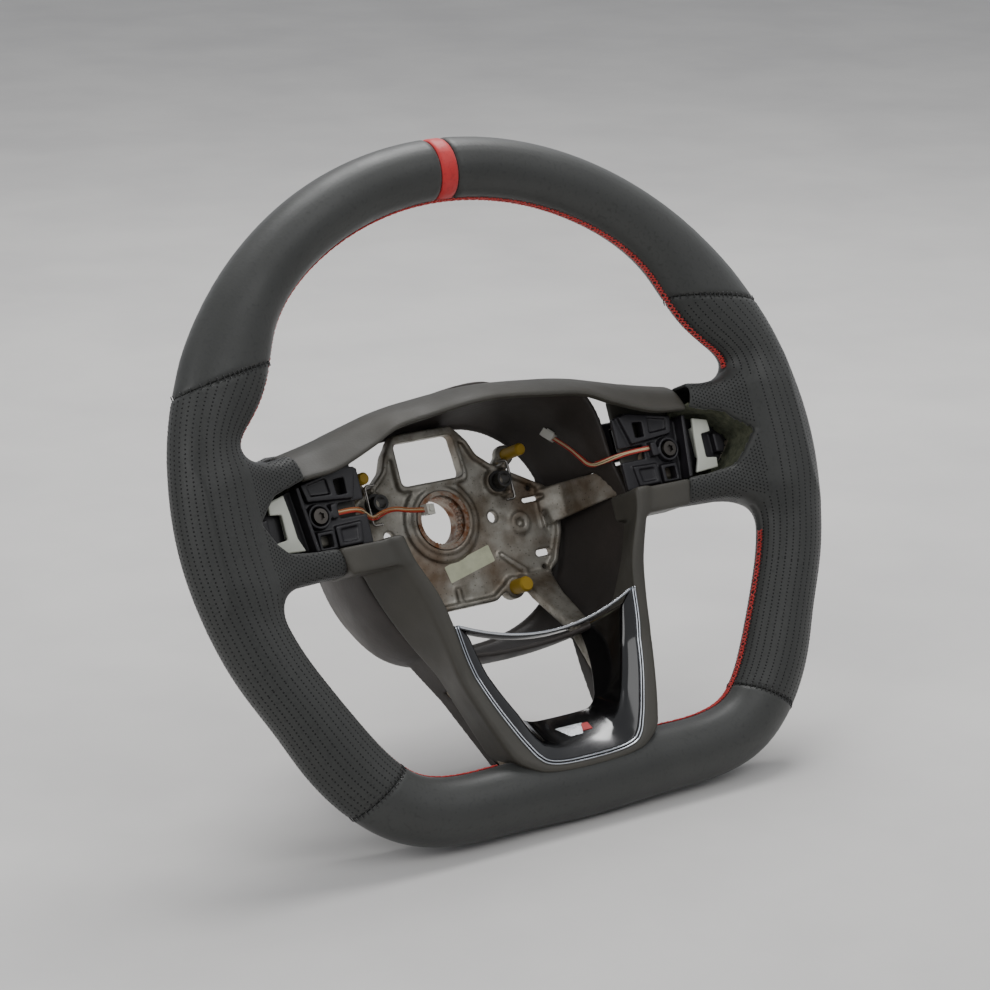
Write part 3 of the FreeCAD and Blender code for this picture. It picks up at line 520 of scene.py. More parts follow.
ribbon("lead_wires_left", LEAD_LEFT, "lead_left", (1, 2, 0, 2))
ribbon("lead_wires_right", LEAD_RIGHT, "lead_right", (1, 0, 0, 1))


# ---------------------------------------------------------------- rim
RIM_KEYS = [
    (0, 168.5, 16.0), (30, 169.3, 16.3), (50, 168.5, 19.0), (61, 166.8, 21.8), (72, 171.0, 17.4),
    (80, 169.5, 18.5), (90, 168.0, 19.4), (100, 167.0, 18.9), (110, 166.4, 18.2), (120, 165.9, 18.0),
    (128, 168.6, 18.8), (136, 171.6, 18.2), (144, 171.4, 17.2), (152, 164.3, 16.8), (162, 153.4, 17.0),
    (180, 146.4, 18.0),
]
RIM_HALF_DEPTH = 14.5
LEATHER = 1.2
UPPER_SEAM = ((117.0, 85.0), (168.5, 76.5))
LOWER_SEAM = ((101.0, -118.5), (130.0, -136.5))
SPOKE_SEAM = ((104.6, -10.4), (115.0, 26.4))
BAND_HALF_WIDTH = 5.0
SPOKE_STATIONS = np.array([
    (86.0, -22.5, 43.5, -1.5, 22.0), (103.0, -22.5, 42.5, -2.0, 22.0), (128.0, -23.5, 38.5, -5.0, 21.0),
    (147.0, -26.5, 38.2, -8.5, 20.0), (158.0, -28.0, 38.0, -10.0, 12.0), (168.0, -24.0, 34.0, -7.0, 8.0),
])
SPOKE_CORNER = 8.0
RECESS = [
    (88.0, -9.5), (88.0, 29.0), (96.0, 29.0), (118.0, 25.6), (134.0, 21.0), (147.0, 8.5), (139.0, -2.5),
    (133.0, -7.5), (118.0, -9.0),
]
RECESS_DEPTH = 15.5
RECESS_INNER_DEPTH = 17.0
RECESS_INNER_END = 118.5
LIP_ROUNDING = 3.2
SPOKE_FILLET = 17.0
SPOKE_ENDS = (90.0, 166.0)
POCKET_EDGE = -2.4  # how deep in the whole form the leather's edge lies inside a recess
RIM_PITCH = 1.4
RIM_GRID = np.array([[-194.0, -22.0, -172.0], [194.0, 28.0, 192.0]])
RIM_SAMPLES = 1100


def rim_line(samples):
    """The closed centre line as x, z and half width, by a periodic cubic through the keys."""
    half = [(r * math.sin(math.radians(a)), r * math.cos(math.radians(a)), w) for a, r, w in RIM_KEYS]
    knots = np.array(half + [(-x, z, w) for x, z, w in reversed(half[1:-1])])
    gaps = np.linalg.norm(np.roll(knots, -1, 0)[:, :2] - knots[:, :2], axis=1)
    count = len(knots)
    system = np.zeros((count, count))
    for k in range(count):
        system[k, k - 1] += gaps[k - 1]
        system[k, k] += 2 * (gaps[k - 1] + gaps[k])
        system[k, (k + 1) % count] += gaps[k]
    slopes = (np.roll(knots, -1, 0) - knots) / gaps[:, None]
    bends = np.linalg.solve(system, 6 * (slopes - np.roll(slopes, 1, 0)))
    ends = np.concatenate([[0], np.cumsum(gaps)])
    at = np.linspace(0, ends[-1], samples, endpoint=False)
    k = np.clip(np.searchsorted(ends, at, "right") - 1, 0, count - 1)
    t, h, n = (at - ends[k])[:, None], gaps[k][:, None], (k + 1) % count
    return (bends[k] * (h - t) ** 3 / (6 * h) + bends[n] * t ** 3 / (6 * h)
            + (knots[k] / h - bends[k] * h / 6) * (h - t) + (knots[n] / h - bends[n] * h / 6) * t)


LINE = rim_line(RIM_SAMPLES)
LINE_AHEAD = np.roll(LINE[:, :2], -1, 0) - np.roll(LINE[:, :2], 1, 0)
LINE_AHEAD /= np.linalg.norm(LINE_AHEAD, axis=1)[:, None]
LINE_OUT = np.stack([-LINE_AHEAD[:, 1], LINE_AHEAD[:, 0]], 1)


def across_rim(x, z):
    """How far points lie outside the rim's centre line, and the half width there."""
    flat = np.stack([x.ravel(), z.ravel()], 1)
    off, width = np.empty(len(flat)), np.empty(len(flat))
    for start in range(0, len(flat), 4000):
        some = flat[start:start + 4000]
        nearest = ((some[:, None, :] - LINE[None, :, :2]) ** 2).sum(2).argmin(1)
        off[start:start + 4000] = ((some - LINE[nearest, :2]) * LINE_OUT[nearest]).sum(1)
        width[start:start + 4000] = LINE[nearest, 2]
    return off.reshape(x.shape), width.reshape(x.shape)


def tube_distance(off, width, depth):
    """About how far points are outside the rim's oval section."""
    shape = np.sqrt((off / width) ** 2 + (depth / RIM_HALF_DEPTH) ** 2)
    slope = np.sqrt((off / width ** 2) ** 2 + (depth / RIM_HALF_DEPTH ** 2) ** 2)
    return (shape - 1) * shape / np.maximum(slope, 1e-6)


def spoke_distance(x, depth, z):
    """How far points are outside the wrapped end of a side spoke."""
    reach = np.abs(x)
    stations = SPOKE_STATIONS.T
    low, high, front, back = [np.interp(reach, stations[0], column) for column in stations[1:]]
    from_middle = np.abs(depth - (front + back) / 2) - (back - front) / 2 + SPOKE_CORNER
    from_centre = np.abs(z - (low + high) / 2) - (high - low) / 2 + SPOKE_CORNER
    outside = np.hypot(np.maximum(from_middle, 0), np.maximum(from_centre, 0))
    section = outside + np.minimum(np.maximum(from_middle, from_centre), 0) - SPOKE_CORNER
    return np.maximum(section, np.maximum(reach - SPOKE_ENDS[1], SPOKE_ENDS[0] - reach))


def polygon_distance(x, z, corners):
    """Signed distance in the rim's plane to a polygon."""
    nearest = np.full(x.shape, 1e9)
    inside = np.zeros(x.shape, bool)
    for (x0, z0), (x1, z1) in zip(corners, corners[1:] + corners[:1]):
        dx, dz = x1 - x0, z1 - z0
        t = np.clip(((x - x0) * dx + (z - z0) * dz) / (dx * dx + dz * dz), 0, 1)
        nearest = np.minimum(nearest, np.hypot(x - x0 - t * dx, z - z0 - t * dz))
        if dz:
            inside ^= ((z0 > z) != (z1 > z)) & (x < dx * (z - z0) / dz + x0)
    return np.where(inside, -nearest, nearest)


def rim_form():
    """The wrapped rim and spoke ends as one surface, with how deep each face lies in the whole form."""
    low = RIM_GRID[0]
    size = np.ceil((RIM_GRID[1] - low) / RIM_PITCH).astype(int) + 1
    xs, ys, zs = [low[k] + RIM_PITCH * np.arange(size[k]) for k in range(3)]
    flat_x, flat_z = np.meshgrid(xs, zs, indexing="ij")
    off, width = across_rim(flat_x, flat_z)
    depth = ys[None, :, None]
    whole = tube_distance(off[:, None, :], width[:, None, :], depth)
    spoke = spoke_distance(xs[:, None, None], depth, zs[None, None, :])
    whole = softest(whole, spoke, SPOKE_FILLET)
    pocket = polygon_distance(np.abs(flat_x), flat_z, RECESS)[:, None, :]
    floor = np.where(np.abs(xs) < RECESS_INNER_END, RECESS_INNER_DEPTH, RECESS_DEPTH)[:, None, None]
    pocket = np.maximum(pocket, depth - floor)
    carved = -softest(-whole, pocket, LIP_ROUNDING)
    points, quads = surface(carved, low, RIM_PITCH)
    centres = points[quads].mean(1)
    spots = tuple(np.clip(np.rint((centres - low) / RIM_PITCH).astype(int), 0, size - 1).T)
    return points, quads, centres, whole[spots]


form_points, form_quads, form_centres, form_buried = rim_form()
form_tree = BVHTree.FromPolygons([Vector(p) for p in form_points], form_quads.tolist())
in_pocket = form_buried < POCKET_EDGE


def seam_plane(seam, side=1):
    """A seam's vertical plane, as a point and the way up the wheel; side -1 is its mirror image."""
    (x0, z0), (x1, z1) = seam
    along = Vector((side * (x1 - x0), 0, z1 - z0)).normalized()
    upward = Vector((-along.z, 0, along.x)) * side
    return Vector((side * x0, 0, z0)), upward


def clipped(faces, planes):
    """A mesh of some of the form's faces, cut to the side that each plane's direction leaves."""
    mesh = bmesh.new()
    used, numbers = np.unique(form_quads[faces], return_inverse=True)
    corners = [mesh.verts.new(form_points[k]) for k in used]
    for quad in numbers.reshape(-1, 4):
        mesh.faces.new([corners[k] for k in quad])
    for spot, away in planes:
        everything = mesh.verts[:] + mesh.edges[:] + mesh.faces[:]
        bmesh.ops.bisect_plane(mesh, geom=everything, dist=WELD, plane_co=spot, plane_no=away,
                               clear_outer=True)
    return mesh


def surface_of(mesh):
    """The points, outward directions and faces of a bmesh, which is then freed."""
    mesh.normal_update()
    mesh.verts.index_update()
    points = np.array([v.co for v in mesh.verts])
    normals = np.array([v.normal for v in mesh.verts])
    faces = [[v.index for v in face.verts] for face in mesh.faces]
    mesh.free()
    return points, normals, faces


def thicken(obj, thickness):
    """Gives a sheet its thickness, inward from its outer face."""
    shell = obj.modifiers.new("thickness", "SOLIDIFY")
    shell.thickness = thickness * MM
    shell.offset = -1.0


WELD = 1e-4
GAP = 0.12  # how far each piece of leather stops short of its seam
CURL = 2.2  # how far from a seam the leather starts to turn in, and how deep it goes
CURL_DEPTH = 1.0
GROOVE = 2.4  # half width and depth of the sewn groove along the rim's inner edge
GROOVE_DEPTH = 0.7
GROOVE_CLEAR = 4.0  # how far from a spoke the groove runs out
SPOKE_ZONE = 60.0  # the spoke's seam acts only this near the hub's height
FOAM_SET_BACK = 0.9
FOAM_THICKNESS = 2.0


def spoke_cut(side):
    """The slanted plane where the spoke's leather ends, facing the hub."""
    (x0, z0), (x1, z1) = SPOKE_SEAM
    along = Vector((side * (x1 - x0), 0, z1 - z0)).normalized()
    return Vector((side * x0, 0, z0)), Vector((-side * abs(along.z), 0, abs(along.x)))


def end_at_spoke_seam(mesh, side):
    """Cuts a grip's spoke end along its seam and drops what is left on the hub's side."""
    spot, towards_hub = spoke_cut(side)
    spot = spot - towards_hub * GAP
    near = []
    for face in mesh.faces:
        centre = face.calc_center_median()
        if abs(centre.z) < 55 and abs(centre.x) < 132:
            near.append(face)
    corners = list(dict.fromkeys(v for face in near for v in face.verts))
    edges = list(dict.fromkeys(e for face in near for e in face.edges))
    bmesh.ops.bisect_plane(mesh, geom=corners + edges + near, dist=WELD, plane_co=spot, plane_no=towards_hub)
    dropped = []
    for face in mesh.faces:
        centre = face.calc_center_median()
        if abs(centre.z) < 55 and abs(centre.x) < 125 and (centre - spot).dot(towards_hub) > 0:
            dropped.append(face)
    bmesh.ops.delete(mesh, geom=dropped, context="FACES")


def wrapped(name, faces, planes, slot, node, spoke_side=0):
    """A piece of leather: cut at its seams, turned in along them, and given its thickness."""
    planes = [(Vector(spot) - Vector(away) * GAP, Vector(away)) for spot, away in planes]
    mesh = clipped(faces, planes)
    if spoke_side:
        end_at_spoke_seam(mesh, spoke_side)
    loose = [v for v in mesh.verts if not v.link_faces]
    bmesh.ops.delete(mesh, geom=loose, context="VERTS")
    points, normals, faces = surface_of(mesh)
    from_seams = [np.abs((points - np.array(spot)) @ np.array(away)) for spot, away in planes]
    if spoke_side:
        spot, away = spoke_cut(spoke_side)
        from_spoke_seam = np.abs((points - np.array(spot)) @ np.array(away))
        from_seams.append(np.where(np.abs(points[:, 2]) < SPOKE_ZONE, from_spoke_seam, CURL))
    curl = CURL_DEPTH * np.clip(1 - np.min(from_seams, axis=0) / CURL, 0, 1) ** 2
    off, _ = across_rim(points[:, 0], points[:, 2])
    inner = (off < 0) & (np.abs(points[:, 1]) < GROOVE) & (spoke_distance(*points.T) > GROOVE_CLEAR)
    groove = np.where(inner, GROOVE_DEPTH * (1 - (points[:, 1] / GROOVE) ** 2), 0)
    points -= normals * np.maximum(curl, groove)[:, None]
    thicken(piece(name, points, faces, slot, replaces=[node]), LEATHER)


skin_faces = ~in_pocket
upper = {side: seam_plane(UPPER_SEAM, side) for side in (1, -1)}
lower = {side: seam_plane(LOWER_SEAM, side) for side in (1, -1)}
band = {side: (Vector((side * BAND_HALF_WIDTH, 0, 0)), Vector((side, 0, 0))) for side in (1, -1)}
for side, word in ((1, "right"), (-1, "left")):
    on_side = skin_faces & (form_centres[:, 0] * side > 0)
    above = (upper[side][0], -upper[side][1])
    below = (lower[side][0], -lower[side][1])
    wrapped("rim_leather_top_" + word, on_side & (form_centres[:, 2] > 60),
            [above, (band[side][0], -band[side][1])], "leather_smooth", "leather_top_" + word)
    wrapped("rim_leather_grip_" + word, on_side, [upper[side], below], "leather_perforated",
            "leather_grip_" + word, side)
wrapped("rim_leather_bottom", skin_faces & (form_centres[:, 2] < -90), [lower[1], lower[-1]],
        "leather_smooth", "leather_bottom")
wrapped("rim_leather_band", skin_faces & (form_centres[:, 2] > 140) & (np.abs(form_centres[:, 0]) < 9),
        [band[1], band[-1]], "leather_red", "leather_red_band")


def pocket_liner(side, word):
    """The rough foam inside a switch recess, set back behind the leather's edge."""
    chosen = in_pocket & (form_centres[:, 0] * side > 0)
    points, normals, faces = surface_of(clipped(chosen, [spoke_cut(side)]))
    points -= normals * FOAM_SET_BACK
    thicken(piece("recess_foam_" + word, points, faces, "foam", replaces=["rim_foam"]), FOAM_THICKNESS)


pocket_liner(1, "right")
pocket_liner(-1, "left")


# ---------------------------------------------------------------- perforations and stitches
HOLE_RADIUS = 0.47
HOLE_DEPTH = 0.4
HOLE_LIFT = 0.05
HOLE_DISH = 0.02
HOLE_SIDES = 8
HOLE_STEP = 1.9
RIM_COLUMNS = 31
SPOKE_COLUMNS = 42
SPOKE_COLUMN = 1.625
SPOKE_STEPS = 44
STITCH_PITCH = 4.4
STITCH_REACH = 2.1
STITCH_SPANS = ((0, 74), (107, 163))  # from twelve o'clock, above and below the spokes
THREAD = 0.36
SEAM_STITCHES = 36
SEAM_THREAD = 0.3


def hit(start, way, reach=60.0):
    """The first place where a ray meets the form, with the surface's outward direction."""
    spot, normal, _, distance = form_tree.ray_cast(Vector(start), Vector(way), reach)
    return spot, normal, distance


def holes_on_tube():
    """Places in staggered rows along the rim's right half, laid by rays from its centre line."""
    found = []
    lengths = np.concatenate([[0], np.cumsum(np.linalg.norm(np.diff(LINE[:, :2], axis=0), axis=1))])
    for step in range(int(lengths[-1] / HOLE_STEP / 2)):
        for column in range(1, RIM_COLUMNS):
            at = (step + 0.5 * (column % 2)) * HOLE_STEP
            k = min(int(np.searchsorted(lengths, at)), len(LINE) - 1)
            x, z, width = LINE[k]
            if not -135 < z < 88:
                continue
            turn = math.pi + 2 * math.pi * column / RIM_COLUMNS
            out = LINE_OUT[k] * width * math.cos(turn)
            target = Vector((out[0], RIM_HALF_DEPTH * math.sin(turn), out[1]))
            spot, normal, distance = hit((x, 0, z), target.normalized())
            if spot and distance <= target.length + 3.5:
                found.append((spot, normal))
    return found


def holes_on_spoke():
    """Places on the right spoke's end, in lattices seen from in front, behind, above and below."""
    found = []
    for column in range(SPOKE_COLUMNS):
        for step in range(SPOKE_STEPS):
            x = 100 + column * SPOKE_COLUMN
            along = (step + 0.5 * (column % 2)) * HOLE_STEP
            for start, way, least in (
                ((x, -40, along - 34), (0, 1, 0), 0.72), ((x, 50, along - 34), (0, -1, 0), 0.72),
                ((x, along - 16, 62), (0, 0, -1), 0.7), ((x, along - 16, -62), (0, 0, 1), 0.7),
            ):
                spot, normal, _ = hit(start, way)
                if spot and -normal.dot(Vector(way)) >= least:
                    found.append((spot, normal))
    return found


def allowed(places, side, on_tube):
    """Which places are on the perforated leather, clear of its seams, the recess and the inner seam."""
    points = np.array([spot for spot, _ in places])
    reach, depth, height = np.abs(points[:, 0]), points[:, 1], points[:, 2]
    fine = np.ones(len(points), bool)
    for (spot, upward), towards in ((upper[side], -1), (lower[side], 1)):
        fine &= (points - np.array(spot)) @ np.array(upward) * towards > 1.6
    spot, towards_hub = spoke_cut(side)
    past = (points - np.array(spot)) @ np.array(towards_hub)
    fine &= (past < -1.2) | (np.abs(height) > SPOKE_ZONE)
    fine &= (polygon_distance(reach, height, RECESS) > 1.1) | (depth >= 12)
    off, width = across_rim(points[:, 0], height)
    beyond = -off - width
    if on_tube:
        fine &= beyond < 1.5
        fine &= (np.abs(depth) >= 2.8) | (off >= 0) | (spoke_distance(*points.T) <= 3)
    else:
        fine &= beyond > 0.4
    return [entry for entry, keep in zip(places, fine) if keep]


def hole_mesh(places):
    """Each hole as a small closed lens set flush in the leather, painted near-black as the shade inside a real
    hole.
    """
    points, faces = [], []
    for spot, normal in places:
        side = normal.orthogonal().normalized()
        lift = normal.cross(side)
        start = len(points)
        for k in range(HOLE_SIDES):
            turn = 2 * math.pi * k / HOLE_SIDES
            edge = HOLE_RADIUS * (math.cos(turn) * side + math.sin(turn) * lift)
            points.append(spot + edge + normal * HOLE_LIFT)
        points.append(spot + normal * HOLE_DISH)
        points.append(spot - normal * HOLE_DEPTH)
        for k in range(HOLE_SIDES):
            following = (k + 1) % HOLE_SIDES
            faces.append((start + k, start + following, start + HOLE_SIDES))
            faces.append((start + following, start + k, start + HOLE_SIDES + 1))
    return np.array(points), faces


def to_side(places, side):
    """Places on the right half, or their mirror images."""
    return [[Vector((v.x * side, v.y, v.z)) for v in entry] for entry in places]


tube_places = holes_on_tube()
spoke_places = holes_on_spoke()
for side, word in ((1, "right"), (-1, "left")):
    holes = allowed(to_side(tube_places, side), side, True)
    holes += allowed(to_side(spoke_places, side), side, False)
    # The lenses take the near-black hole look: painted shade of the perforations.
    piece("perforations_" + word, *hole_mesh(holes), "leather_perforated", looks=[LOOKS["hole"]])


def inner_edge(at, depth):
    """A place on the rim's inner side, at a sample of its centre line and a depth."""
    x, z, width = LINE[int(at) % len(LINE)]
    out = LINE_OUT[int(at) % len(LINE)]
    start = (x - out[0] * (width + 9), depth, z - out[1] * (width + 9))
    spot, normal, _ = hit(start, (out[0], 0, out[1]), 30)
    return spot, normal


def cross_stitch(first, last, way):
    """A thread that zig-zags over the inner seam between two angles from twelve o'clock."""
    angles = np.degrees(np.arctan2(LINE[:, 0], LINE[:, 1]))
    chosen = [k for k in range(len(LINE) // 2) if first <= angles[k] <= last]
    step = STITCH_PITCH / np.linalg.norm(LINE[1, :2] - LINE[0, :2]) / 2
    path = []
    for k in range(int(len(chosen) / step)):
        depth = STITCH_REACH * (1 if (k % 2) == (way > 0) else -1)
        spot, normal = inner_edge(chosen[0] + k * step, depth)
        if spot is None:
            continue
        path.append(np.array(spot + normal * (THREAD * 0.55)))
        middle, normal = inner_edge(chosen[0] + (k + 0.5) * step, 0.0)
        if middle is not None:
            path.append(np.array(middle + normal * (0.1 + 0.25 * (way > 0))))
    return tube(through(path, 2), THREAD)


def seam_stitches(seam, side):
    """Black stitches across a seam between two pieces of leather, all round the rim."""
    (x0, z0), (x1, z1) = seam
    middle = Vector((side * (x0 + x1) / 2, 0, (z0 + z1) / 2))
    along = Vector((side * (x1 - x0), 0, z1 - z0)).normalized()
    across = Vector((-along.z, 0, along.x))
    parts = []
    for k in range(SEAM_STITCHES):
        turn = 2 * math.pi * k / SEAM_STITCHES
        spot, normal, _ = hit(middle, along * math.cos(turn) + Vector((0, math.sin(turn), 0)))
        if spot:
            arc = ((-1.5, -0.25), (-0.8, 0.05), (0, -0.1), (0.8, 0.05), (1.5, -0.25))
            path = [np.array(spot + across * over + normal * rise) for over, rise in arc]
            parts.append(tube(path, SEAM_THREAD))
    return parts


threads = [cross_stitch(first, last, way) for first, last in STITCH_SPANS for way in (1, -1)]
thread_points, thread_faces = gathered(threads)
mirrored = (thread_points * (-1, 1, 1), [tuple(reversed(face)) for face in thread_faces])
piece("cross_stitching", *gathered([(thread_points, thread_faces), mirrored]), "thread_red",
      replaces=["rim_stitching"])
threads = []
for side in (1, -1):
    threads += seam_stitches(UPPER_SEAM, side) + seam_stitches(LOWER_SEAM, side)
piece("seam_stitching", *gathered(threads), "leather_smooth", looks=[LOOKS["thread_black"]])

# ---------------------------------------------------------------- hub skins
PARTING = 24.0
SKIN_GAP = 0.3
ARCH_END = 116.0
ARCH_STATIONS = [
    (-116, 26.4, 41.5), (-95, 28.5, 46), (-72, 36.5, 52), (-57, 43, 55.5), (-38, 46, 58),
    (0, 49.5, 60.5), (38, 46, 58), (57, 43, 55.5), (72, 36.5, 52), (95, 28.5, 46), (116, 26.4, 41.5),
]
FRONT_OUTLINE = [
    (77, -10.4), (72.5, -23), (64.5, -44), (60.5, -64), (57.5, -85), (51.5, -106), (45.5, -123),
    (41.9, -130.1), (34.5, -135.6), (27, -138.6), (12, -140),
]
FRONT_OPENING = [
    (71.5, -10.4), (66.5, -23), (58, -42), (54.5, -58), (52, -77), (46.5, -97), (39.5, -115),
    (35, -124.5), (31, -131), (25, -135), (12, -136.8),
]
BACK_OUTLINE = [
    (84, -10.4), (81, -27), (74, -45), (65, -62), (54, -80), (47.5, -98), (43, -114), (41, -121),
    (37, -126), (28, -130), (12, -133),
]
BACK_OPENING = [
    (79.2, -10.4), (76, -25), (69, -42), (60, -58), (48.5, -76), (42, -95), (38, -110),
    (35.5, -115.5), (31, -121), (24, -125), (12, -127),
]


def front_depth(z):
    """The lower spoke's front edge: level at first, then leaning forward over the rim."""
    return -3.2 - 0.2 * max(0.0, -85.0 - z)


def seam_x(z):
    """How far out the spoke's seam is at a height."""
    (x0, z0), (x1, z1) = SPOKE_SEAM
    return x0 + (x1 - x0) / (z1 - z0) * (z - z0)


def brick(x0, x1, y0, y1, z0, z1):
    """A block whose outboard end follows the spoke's seam."""
    corners = [(x0, y0, z0), (x1, y0, z0), (x1, y1, z0), (x0, y1, z0),
               (x0, y0, z1), (x1, y0, z1), (x1, y1, z1), (x0, y1, z1)]
    corners = [(math.copysign(min(abs(x), seam_x(z) - SKIN_GAP), x), y, z) for x, y, z in corners]
    faces = [(0, 1, 2, 3), (4, 5, 6, 7), (0, 1, 5, 4), (1, 2, 6, 5), (2, 3, 7, 6), (3, 0, 4, 7)]
    return np.array(corners, float), np.array([t for a, b, c, d in faces for t in ((a, b, c), (a, c, d))])


def arch():
    """The arched skin over the hub, sheared at its ends to follow the spokes' seams."""
    rings = []
    for x, lip, crest in through(ARCH_STATIONS, 14):
        back = PARTING if abs(x) < 90 else 21.5
        profile = [(-1.0, lip), (1.5, lip + 3.5), (9, lip + 0.72 * (crest - lip)), (18, crest),
                   (back, crest + 0.5), (back, crest - 4.5), (18, crest - 5.0), (4, lip - 1.0)]
        ends = (abs(x) / ARCH_END) ** 4
        ring = [np.array((x * (1 + ends * (seam_x(z) - SKIN_GAP - ARCH_END) / ARCH_END), depth, z))
                for depth, z in profile]
        rings.append(rounded_ring(ring, (1.2, 3.5, 5.0, 5.0, 0.4, 0.4, 2.0, 2.0), 3))
    return as_triangles(*skinned(rings))


walls = [brick(80, 130, 19.0, 21.5, -10.4, 40), brick(-80, -130, 19.0, 21.5, -10.4, 40)]
points, quads = melted([arch()] + walls, 0.8, 1, 2.0)
piece("hub_arch", points, quads, "skin", replaces=["hub_skin_upper"])


def lower_surround():
    """The moulded skin round the lower trim, with its front edge rolled over."""
    edges = [both_sides(half) for half in (FRONT_OUTLINE, BACK_OUTLINE, BACK_OPENING, FRONT_OPENING)]
    columns = [[number for corner in station for number in corner] for station in zip(*edges)]
    rings = []
    for fx, fz, bx, bz, jx, jz, ix, iz in through(columns, 8):
        ring = [np.array(p) for p in ((fx, front_depth(fz), fz), (bx, PARTING, bz), (jx, PARTING, jz),
                                      (ix, front_depth(iz), iz))]
        rings.append(rounded_ring(ring, (3.4, 0.6, 0.6, 0.7), 5))
    return as_triangles(*skinned(rings))


def behind_rim(x, depth, z):
    """What the lower skin leaves out: behind its slanted rear edge, and the inside of the rim."""
    slope = (12.0 - PARTING) / (-142.0 + 95.0)
    lean = math.hypot(1, slope)
    from_parting = PARTING + slope * (z[None, None, :] + 95.0) - depth[None, :, None]
    behind = from_parting / lean + 0 * x[:, None, None]
    flat_x, flat_z = np.meshgrid(x, z, indexing="ij")
    off, width = across_rim(flat_x, flat_z)
    rim = tube_distance(off[:, None, :], width[:, None, :], depth[None, :, None]) + 1.2
    return np.minimum(np.where(z[None, None, :] < -95, behind, 9.0), rim)


shelves = [brick(70, 110, -2.0, 21.5, -22.5, -10.4), brick(-70, -110, -2.0, 21.5, -22.5, -10.4)]
points, quads = melted([lower_surround()] + shelves, 0.75, 2, 5.0, behind_rim)
piece("lower_skin", points, quads, "skin", replaces=["hub_skin_lower"])
melted_node("rear_cover", 0.9, "cover")
melted_node("armature_casting", 0.75, "cast_magnesium")

# ---------------------------------------------------------------- lower trim
TRIM_FRONT = [
    (52.2, -58.3), (49.7, -76.5), (44.2, -96.3), (37.2, -113.8), (32.8, -122.8), (29, -128.8),
    (23.8, -132.6), (12, -134.3),
]
TRIM_LIP = [
    (45.5, -66), (42, -80), (37, -94), (31.5, -107), (27.5, -115.5), (24, -121), (19.5, -125),
    (10, -127.5),
]
TRIM_BACK = [
    (39.5, -72), (36.5, -83), (32, -94), (26.5, -104), (24, -107.5), (21, -110), (16.5, -112),
    (8, -112.5),
]
TRIM_WALL = 1.8
BAR_END = 52.0
BAR_HEIGHT = -58.0
BAR_SAG = 12.0
BAR_STEPS = 24


def lip_depth(z):
    """Just behind the front edge at the sides, deeper over the chin."""
    return front_depth(z) + 2.0 + 0.14 * max(0.0, -107.0 - z)


def outset(x, z, distance):
    """A point moved away from the middle of the trim's opening."""
    reach = math.hypot(x, z + 88.0)
    return x * (1 + distance / reach), z + (z + 88.0) * distance / reach


def gloss_frame():
    """The gloss flange and the walls that run back from it to a slanted rear edge."""
    columns = [(*front, *lip, *back) for front, lip, back in zip(
        both_sides(TRIM_FRONT), both_sides(TRIM_LIP), both_sides(TRIM_BACK))]
    rings = []
    for fx, fz, lx, lz, bx, bz in through(columns, 10):
        depth = 9.0 + (bz + 112.0) * 0.63
        out_x, out_z = outset(lx, lz, TRIM_WALL)
        far_x, far_z = outset(bx, bz, TRIM_WALL)
        ring = [(fx, front_depth(fz), fz), (lx, lip_depth(lz), lz), (bx, depth, bz), (far_x, depth, far_z),
                (out_x, lip_depth(lz) + TRIM_WALL, out_z), (fx, front_depth(fz) + TRIM_WALL, fz)]
        rings.append(rounded_ring([np.array(p) for p in ring], (0.7, 3.0, 0.7, 0.7, 2.0, 0.5), 5))
    return skinned(rings)


def top_bar(front, low, high, back):
    """The thin bar that sags across the top of the opening."""
    rings = []
    for step in range(-BAR_STEPS, BAR_STEPS + 1):
        x = BAR_END * step / BAR_STEPS
        z = BAR_HEIGHT - BAR_SAG * (1 - (x / BAR_END) ** 2)
        ring = [(x, front, z + high), (x, back, z + high - 1.0), (x, back, z + low - 1.0),
                (x, front, z + low)]
        rings.append(rounded_ring([np.array(p) for p in ring], (0.5,) * 4, 3))
    return skinned(rings)


points, faces = gathered([gloss_frame(), top_bar(-3.2, -1.8, 0.0, 2.0)])
piece("gloss_frame", points, faces, "gloss_black", replaces=["lower_trim"])
piece("bar_edge", *top_bar(-3.7, -0.5, 0.15, -2.9), "bright_trim")


def bright_strip():
    """Two polished ridges with a groove between them, whose faces take the gloss black look as painted shade.
    """
    rings, dark = [], []
    edges = zip(both_sides(FRONT_OPENING[3:]), both_sides(TRIM_FRONT))
    columns = [(*outer, *inner) for outer, inner in edges]
    profile = [(0, 0.6), (0.06, -0.7), (0.2, -1.05), (0.36, -0.75), (0.42, 0.1), (0.58, 0.1), (0.64, -0.75),
               (0.8, -1.05), (0.94, -0.7), (1, 0.6), (0.98, 1.8), (0.02, 1.8)]
    for ox, oz, ix, iz in through(columns, 10):
        ring = []
        for share, depth in profile:
            x, z = ox + (ix - ox) * share, oz + (iz - oz) * share
            ring.append((x, front_depth(z) + depth, z))
        rings.append(ring)
    points, faces = skinned(rings)
    # dark marks the groove's faces, which are painted black as the shade between the ridges.
    for face in faces:
        shares = {k % len(profile) for k in face}
        dark.append(int(any(shares <= pair for pair in ({3, 4}, {4, 5}, {5, 6}))))
    return points, faces, dark


# The strip's groove wears gloss black: painted shade between its polished ridges.
points, faces, dark = bright_strip()
piece("bright_strip", points, faces, "bright_trim", replaces=["trim_strip"],
      looks=[LOOKS["bright_trim"], LOOKS["gloss_black"]], looks_of=dark)

# ---------------------------------------------------------------- small mouldings
for word in ("right", "left"):
    melted_node("switch_carrier_" + word, 0.42, "carrier_plastic")
    melted_node("switch_bracket_" + word, 0.36, "bracket_white")
    melted_node("paddle_bracket_" + word, 0.5, "carrier_plastic")
    melted_node("paddle_" + word, 0.5, "paddle_gloss", "paddle_" + word)

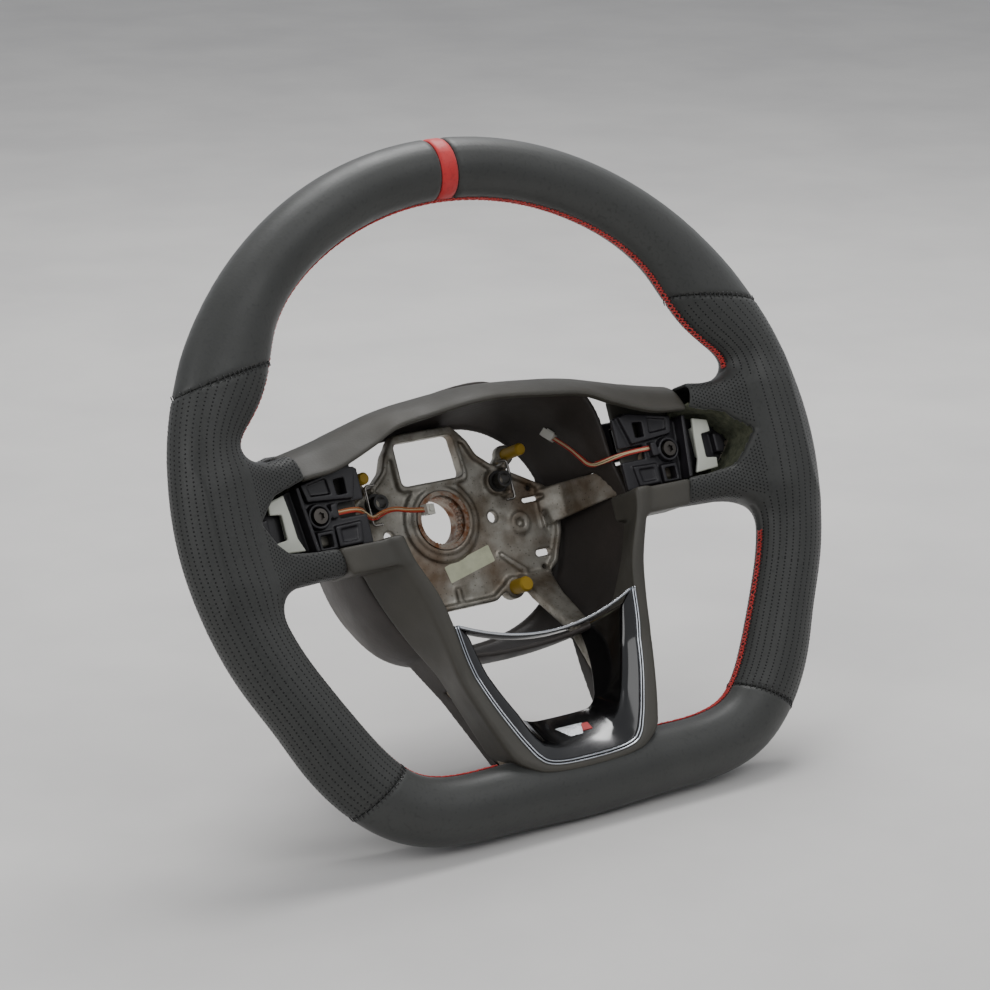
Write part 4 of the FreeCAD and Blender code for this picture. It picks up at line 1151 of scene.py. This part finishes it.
# ---------------------------------------------------------------- floor and light
UP = Vector((0, -0.430, 0.903)).normalized()  # the wheel stands on its rim and leans back
FLOOR_HALF = 6
lowest = min((Vector(p) for p in row(form_points[form_points[:, 2] < -150])), key=lambda p: p.dot(UP))
floor_mesh = bpy.data.meshes.new("floor")
along = Vector((1, 0, 0))
away = UP.cross(along).normalized()
corners = [lowest + (along * a + away * b) * FLOOR_HALF for a, b in ((-1, -1), (1, -1), (1, 1), (-1, 1))]
floor_mesh.from_pydata(corners, [], [(0, 1, 2, 3)])
floor = bpy.data.objects.new("floor", floor_mesh)
bpy.context.scene.collection.objects.link(floor)
paint = Paint("floor_look")
paint.colour(paint.mixed(paint.ranged(paint.noise(7, 5), 0.35, 0.68), linear(208, 206, 203),
                         linear(198, 196, 194)))
paint.set(Roughness=0.75)
# From below, the floor is clear, so that it doesn't hide the object in a view from behind.
facing = paint.nodes.new("ShaderNodeNewGeometry").outputs["Backfacing"]
clear = paint.nodes.new("ShaderNodeBsdfTransparent")
either = paint.nodes.new("ShaderNodeMixShader")
paint.links.new(facing, either.inputs[0])
paint.links.new(paint.shader.outputs[0], either.inputs[1])
paint.links.new(clear.outputs[0], either.inputs[2])
paint.links.new(either.outputs[0], paint.nodes["Material Output"].inputs["Surface"])
floor_mesh.materials.append(paint.material)

world = bpy.data.worlds.new("studio")
world.use_nodes = True
sky = world.node_tree.nodes["Background"]
sky.inputs["Color"].default_value = (0.86, 0.88, 0.92, 1)
sky.inputs["Strength"].default_value = 0.55
bpy.context.scene.world = world


def soft_light(name, spot, size, power):
    """A round area light that faces the hub."""
    lamp = bpy.data.lights.new(name, "AREA")
    lamp.shape = "DISK"
    lamp.size = size
    lamp.energy = power
    obj = bpy.data.objects.new(name, lamp)
    bpy.context.scene.collection.objects.link(obj)
    obj.location = spot
    obj.rotation_mode = "QUATERNION"
    obj.rotation_quaternion = (Vector((0, -0.06, 0)) - Vector(spot)).to_track_quat("-Z", "Y")


soft_light("key", UP * 1.5 + Vector((0.5, 0.5, 0.2)), 0.9, 26)
soft_light("left_fill", Vector((-1.6, -0.9, 0.7)), 1.2, 10)
soft_light("front_fill", Vector((0.5, -1.9, 0.9)), 1.3, 8)
